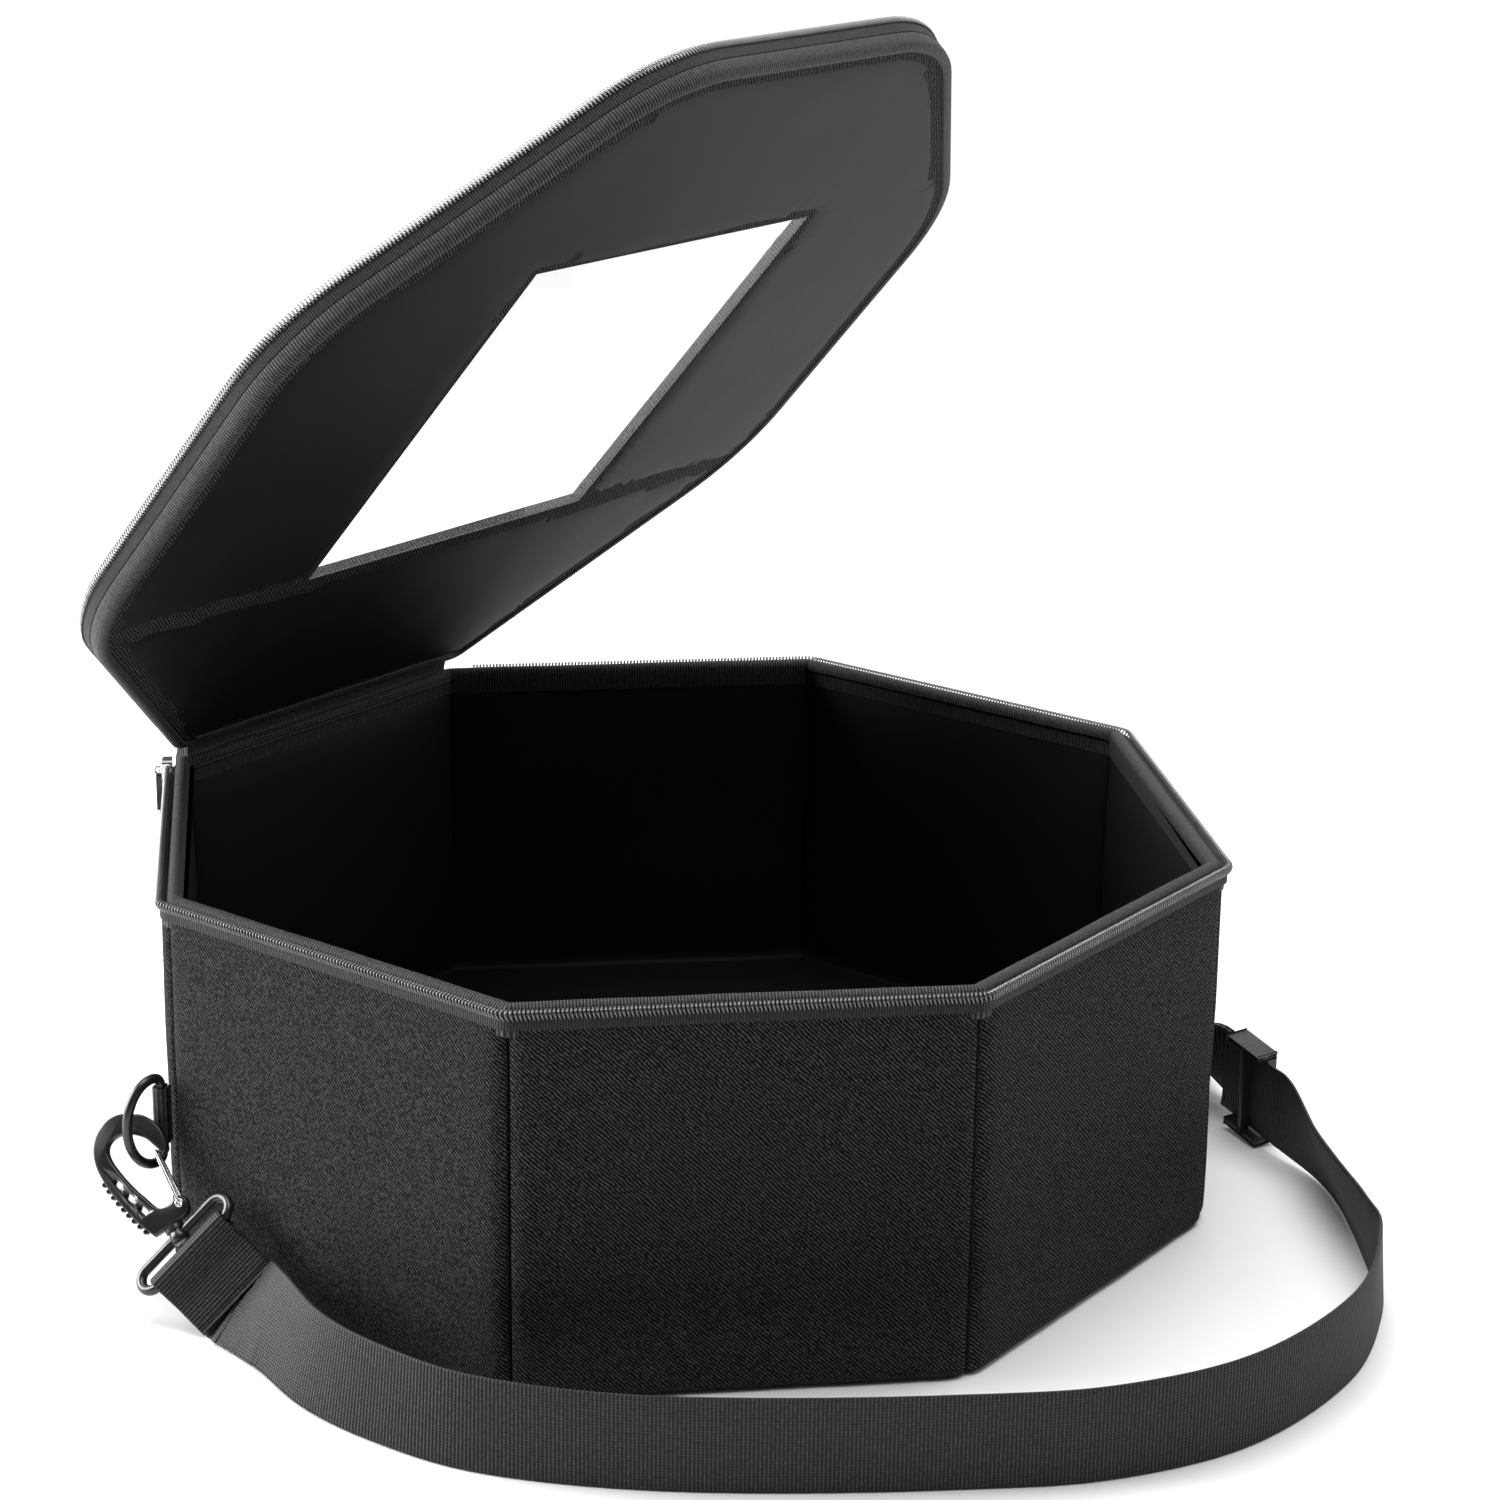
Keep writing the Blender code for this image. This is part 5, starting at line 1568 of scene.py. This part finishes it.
class LoopFrame:
    """The oval loop that the hook swivels on and the strap is sewn round."""

    def __init__(self, hook):
        corner = hook.corner
        self.corner = corner
        self.across = corner.direction(LOOP_ACROSS)
        towards = corner.direction(LOOP_TOWARDS_STRAP)
        self.towards = (towards - self.across * towards.dot(self.across)).normalized()
        self.boss_top = hook.at(HOOK_BASE_SHARE * HOOK_LENGTH - GAP, 0)
        self.boss_foot = self.boss_top - hook.up * SWIVEL_BOSS_LENGTH
        self.hook_bar = self.boss_top - hook.up * (SWIVEL_BOSS_LENGTH * 0.62)
        self.strap_bar = self.hook_bar + self.towards * LOOP_SPACING


def strap_loop(hook, loop, material):
    """The oval loop and the turned collar that the hook swivels in."""
    tag = loop.corner.tag
    half = LOOP_LENGTH / 2 - LOOP_WIRE
    side = LOOP_SPACING / 2
    centre = loop.hook_bar + loop.towards * side
    straight = half - side
    points = []
    for sign in (1, -1):
        for step in range(13):
            a = math.pi * step / 12
            arm = loop.towards * math.cos(a) * side * sign + loop.across * math.sin(a) * side * sign
            points.append(centre + loop.across * straight * sign + arm)
    oval = wire(f"strap_oval_{tag}", points, LOOP_WIRE, material, 20)
    dress(oval, "box", "black_metal", f"clip_loop_{tag}")
    profile = ((0.0, 0.0020), (0.0, 0.0036), (0.0005, 0.0042), (0.0022, 0.0042), (0.0027, 0.0036),
               (0.0034, 0.0036), (0.0039, 0.0041), (0.0068, 0.0042), (0.0076, 0.0036), (0.0078, 0.0012))
    rings = []
    across = hook.up.orthogonal().normalized()
    beside = hook.up.cross(across)
    for down, radius in profile:
        middle = loop.boss_top - hook.up * down
        rings.append(circle(middle, across, beside, radius, 28))
    collar = skin(f"swivel_collar_{tag}", rings, material, sharp=50)
    dress(collar, "box", "black_metal")


def strap_end(loop, run_parts):
    """The sewn end round a loop: its points from the tail inwards, and its directions."""
    corner = loop.corner
    across = loop.across
    run = corner.direction(run_parts)
    run = (run - across * run.dot(across)).normalized()
    face = run.cross(across) * corner.hand
    bend = LOOP_WIRE + 1.8 * GAP + WEBBING_THICKNESS / 2
    half_gap = (WEBBING_THICKNESS + STRAP_LAYER_GAP) / 2
    path = fold_path(loop.strap_bar, run, face, STRAP_SEWN_LENGTH, bend, half_gap,
                     STRAP_SEWN_LENGTH / 2)
    return path, across, face


def route_rows():
    """The strap's floor stations: centre of the webbing and its width direction."""
    feet = []
    for row in STRAP_ROUTE:
        heading = math.radians(row["heading"])
        reach = row["reach"] * HALF_WIDTH
        lift = row["lift"] * STRAP_WIDTH + abs(math.sin(math.radians(row["lean"]))) * WEBBING_THICKNESS
        feet.append(Vector((math.cos(heading) * reach, math.sin(heading) * reach, lift)))
    stations = []
    for index, foot in enumerate(feet):
        along = feet[min(index + 1, len(feet) - 1)] - feet[max(index - 1, 0)]
        inwards = UP.cross(along).normalized()
        lean = math.radians(STRAP_ROUTE[index]["lean"])
        across = UP * math.cos(lean) + inwards * math.sin(lean)
        centre = foot + across * STRAP_WIDTH / 2
        if index == ADJUSTER_ROW:
            straight = along.normalized() * ADJUSTER_LENGTH * 0.55
            stations += [(centre + straight * step, across) for step in (-2, -1, 1, 2)]
        else:
            stations.append((centre, across))
    return stations


def rest_on_floor(centre, across):
    """Lift a section of the webbing until its lowest edge clears the floor."""
    dip = abs(across.z) * STRAP_WIDTH / 2
    dip += math.sqrt(max(0.0, 1 - across.z ** 2)) * WEBBING_THICKNESS / 2
    return centre + UP * max(0.0, dip - centre.z)


def smooth_run(stations):
    """Frames between the second station and the last but one."""
    frames = []
    for index in range(1, len(stations) - 2):
        four = stations[index - 1:index + 3]
        for step in range(ROUTE_STEPS):
            share = step / ROUTE_STEPS
            centre = smooth_between(*(s[0] for s in four), share)
            across = smooth_between(*(s[1] for s in four), share).normalized()
            frames.append((rest_on_floor(centre, across), across))
    frames.append(stations[-2])
    return frames


def adjuster_seat(rows):
    """Middle of the straight stretch that the adjuster sits on."""
    return (rows[ADJUSTER_ROW + 1][0] + rows[ADJUSTER_ROW + 2][0]) / 2


def strap_frames(front_loop, back_loop):
    """The whole webbing: front tail, fold, floor run, back fold, and the tail to the adjuster."""
    front, front_across, _ = strap_end(front_loop, STRAP_RUN_FRONT)
    back, back_across, back_face = strap_end(back_loop, STRAP_RUN_BACK)
    rows = route_rows()
    stations = [(front[-3], front_across), (front[-1], front_across)] + rows
    stations += [(back[-1], back_across), (back[-3], back_across)]
    run = smooth_run(stations)
    frames = [(point, front_across) for point in front[:-1]] + run
    frames += [(point, back_across) for point in reversed(back[:-1])]
    layer = WEBBING_THICKNESS + STRAP_LAYER_GAP
    second = []
    adjuster = run.index(min(run, key=lambda frame: (frame[0] - adjuster_seat(rows)).length))
    for index in range(len(run) - 2, adjuster, -1):
        if (run[index][0] - run[adjuster][0]).length < ADJUSTER_LENGTH / 2 + 6 * GAP:
            break
        along = (run[index + 1][0] - run[index - 1][0]).normalized()
        face = run[index][1].cross(along).normalized()
        if face.dot(back_face) < 0:
            face = -face
        second.append((run[index][0] + face * layer, run[index][1]))
    return frames + second, run[adjuster], (run[adjuster + 1][0] - run[adjuster - 1][0]).normalized()


def strap_webbing(front_loop, back_loop, materials):
    """The ribbed webbing with stitches at its front end, and the slide adjuster."""
    frames, seat, along = strap_frames(front_loop, back_loop)
    length = running_lengths([f[0] for f in frames], False)[-1]
    dips = (TAIL_DIP, FOLD_DIP, length * 0.999)
    band = ribbed_band("strap_webbing", frames, STRAP_WIDTH, WEBBING_THICKNESS, materials["webbing"], dips)
    dress(band, "box", "webbing", "shoulder_strap")
    stitches(frames, STITCH_PLACE, materials["thread"])
    adjuster(seat, along, materials["plastic"])


def stitches(frames, place, material):
    """A row of stitches across the webbing, on both faces."""
    stations = resampled(frames, STITCH_STATION)
    index = int(place / STITCH_STATION)
    centre, across = stations[index]
    along = (stations[index + 1][0] - stations[index - 1][0]).normalized()
    square = (across - along * across.dot(along)).normalized()
    face = along.cross(square)
    paths = []
    for row in (0.0, STITCH_ROW_GAP):
        for step in range(STITCH_COUNT):
            start = (step / STITCH_COUNT - 0.5) * (STRAP_WIDTH - 0.003) + 0.0003
            for sign in (-1, 1):
                lift = face * sign * (WEBBING_THICKNESS / 2 + 0.0001)
                spot = centre + along * row
                paths.append([spot + square * start + lift * 0.6, spot + square * (start + 0.0007) + lift,
                              spot + square * (start + 0.0014) + lift,
                              spot + square * (start + 0.0021) + lift * 0.6])
    piece = many_wires("strap_stitches", paths, STITCH_WIRE, material, 6)
    dress(piece, "box", "webbing")


def adjuster(seat, along, material):
    """Moulded slide adjuster: two rails and three bars with rounded edges."""
    centre, across = seat
    across = (across - along * across.dot(along)).normalized()
    face = along.cross(across)
    rail_at = STRAP_WIDTH / 2 + ADJUSTER_CLEARANCE + ADJUSTER_RAIL / 2
    bar_at = WEBBING_THICKNESS / 2 + ADJUSTER_CLEARANCE + ADJUSTER_BAR / 2
    half_face = bar_at + ADJUSTER_BAR / 2
    half_length = ADJUSTER_LENGTH / 2
    blocks = [(0, half_length, rail_at, ADJUSTER_RAIL / 2, 0, half_face),
              (0, half_length, -rail_at, ADJUSTER_RAIL / 2, 0, half_face)]
    for place, side in ((-1, 1), (0, -1), (1, 1)):
        blocks.append((place * (half_length - ADJUSTER_BAR / 2), ADJUSTER_BAR / 2, 0,
                       rail_at + ADJUSTER_RAIL / 4, side * bar_at, ADJUSTER_BAR / 2))
    for number, (a, da, b, db, c, dc) in enumerate(blocks):
        middle = centre + along * a + across * b + face * c
        piece = rounded_block(f"adjuster_{number}", middle, (along, across, face), (da, db, dc), 0.0008,
                              material)
        dress(piece, "box", "plastic", *(("strap_adjuster",) if number == 0 else ()))


def rounded_block(name, middle, axes, halves, radius, material):
    """A block with rounded edges."""
    builder = bmesh.new()
    builder.loops.layers.uv.new("UVMap")
    bmesh.ops.create_cube(builder, size=2.0)
    for vert in builder.verts:
        spot = vert.co.copy()
        vert.co = middle + sum((axes[k] * spot[k] * halves[k] for k in range(3)), Vector())
    bmesh.ops.bevel(builder, geom=list(builder.edges), offset=radius, segments=4, profile=0.5,
                    affect="EDGES")
    return finish_mesh(name, builder, material, 35)


def tab_fold(corner, material):
    """The fold of ribbed webbing that holds the ring."""
    level = UP * (RING_LEVEL + TAB_RISE)
    bar = corner.origin + corner.swing() * RING_BAR_OUT + level
    root = corner.origin + corner.out * TAB_START + level
    run = (root - bar).normalized()
    face = UP.cross(run)
    thickness = WEBBING_THICKNESS - 0.0005
    bend = RING_WIRE + GAP + thickness / 2
    half_gap = (WEBBING_THICKNESS + GAP) / 2
    length = (root - bar).length
    path = fold_path(bar, run, face, length, bend, half_gap, length)
    frames = [(point, UP) for point in path]
    band = ribbed_band(f"tab_fold_{corner.tag}", frames, TAB_HEIGHT - 0.0006, thickness, material)
    dress(band, "box", "webbing", f"webbing_tab_{corner.tag}")


def corner_sets(materials):
    """Tab, ring, hook, gate and loop at both corners, and the strap between them."""
    loops = []
    for corner in corner_fittings():
        tab_fold(corner, materials["webbing"])
        ring = wire(f"ring_{corner.tag}", ring_points(corner), RING_WIRE, materials["metal"], 18)
        dress(ring, "box", "black_metal", f"d_ring_{corner.tag}")
        hook = HookFrame(corner)
        loop = LoopFrame(hook)
        hook_body(hook, materials)
        hook_gate(hook, materials["steel"])
        strap_loop(hook, loop, materials["metal"])
        loops.append(loop)
    strap_webbing(loops[0], loops[1], materials)


# Scene

def set_camera():
    """The photograph's viewpoint."""
    data = bpy.data.cameras.new("camera")
    data.sensor_width = 36.0
    data.lens = CAMERA_LENS
    camera = bpy.data.objects.new("camera", data)
    place = Matrix.Translation(Vector(CAMERA_PLACE))
    for angle, axis in CAMERA_TURNS:
        place = place @ Matrix.Rotation(math.radians(angle), 4, axis)
    camera.matrix_world = place
    bpy.context.scene.collection.objects.link(camera)
    bpy.context.scene.camera = camera


def area_light(row):
    """A soft lamp that faces a point."""
    data = bpy.data.lights.new(row["name"], "AREA")
    data.shape = "RECTANGLE"
    data.size = row["size"]
    data.size_y = row["size"]
    data.energy = row["power"]
    lamp = bpy.data.objects.new(row["name"], data)
    lamp.location = row["place"]
    aim = Vector(row["target"]) - Vector(row["place"])
    lamp.rotation_euler = aim.to_track_quat("-Z", "Y").to_euler()
    bpy.context.scene.collection.objects.link(lamp)


def surround(tree):
    """White surroundings behind the box, much darker behind the camera."""
    maker = tree.nodes.new
    place = maker("ShaderNodeTexCoord")
    turn = maker("ShaderNodeVectorMath")
    turn.operation = "DOT_PRODUCT"
    turn.inputs[1].default_value = BRIGHT_SIDE
    ramp = maker("ShaderNodeValToRGB")
    ramp.color_ramp.elements[0].position = 0.30
    ramp.color_ramp.elements[0].color = (DARK_SIDE_LEVEL, DARK_SIDE_LEVEL, DARK_SIDE_LEVEL, 1)
    ramp.color_ramp.elements[1].position = 0.80
    ramp.color_ramp.elements[1].color = (1, 1, 1, 1)
    level = maker("ShaderNodeMath")
    level.operation = "MULTIPLY_ADD"
    level.inputs[1].default_value = 0.5
    level.inputs[2].default_value = 0.5
    tree.links.new(place.outputs["Generated"], turn.inputs[0])
    tree.links.new(turn.outputs["Value"], level.inputs[0])
    tree.links.new(level.outputs[0], ramp.inputs[0])
    tree.links.new(ramp.outputs[0], tree.nodes["Background"].inputs[0])
    tree.nodes["Background"].inputs[1].default_value = SURROUND_STRENGTH


def set_stage():
    """Pale floor, white surroundings and soft lamps."""
    bpy.ops.mesh.primitive_circle_add(vertices=96, radius=FLOOR_RADIUS, fill_type="NGON",
                                      location=(0, 0, -FLOOR_DROP))
    floor = bpy.context.object
    floor.name = "floor"
    floor.data.materials.append(floor_material())
    world = bpy.data.worlds.new("surroundings")
    world.use_nodes = True
    surround(world.node_tree)
    bpy.context.scene.world = world
    for row in LAMPS:
        area_light(row)
    bpy.context.scene.view_settings.view_transform = "Standard"


def make_materials():
    """Every finish."""
    return {
        "cloth": oxford_cloth(),
        "lining": lining_cloth(),
        # low and high: painted shade in the rib grooves, and the grey whose rib crests are lifted as
        # painted highlight
        "binding": ribbed_cloth("grosgrain_painted_rib_light", RIB_PITCH, 0.0008, 0.026),
        "tape": ribbed_cloth("zip_tape_painted_rib_light", 0.0011, 0.001, 0.012, 0.0003),
        "webbing": webbing_painted_rib_light(),
        "teeth": nylon(),
        "metal": coated_metal(),
        "steel": bright_steel(),
        "plastic": moulded_plastic(),
        "vinyl": clear_vinyl(),
        "thread": thread_material(),
    }


def main():
    """Build the whole scene."""
    set_camera()
    set_stage()
    materials = make_materials()
    for side in range(SIDES):
        wall_cell(side, materials["cloth"])
    base_cloth(materials["cloth"])
    lining_cup(materials["lining"])
    rim_strip(materials["binding"])
    box_zip(materials)
    lid_board(materials["cloth"])
    lid_linings(materials["lining"])
    lid_binding(materials)
    lid_zip(materials)
    window(materials)
    hinge_cloth(materials)
    zip_slider(materials)
    corner_sets(materials)


main()
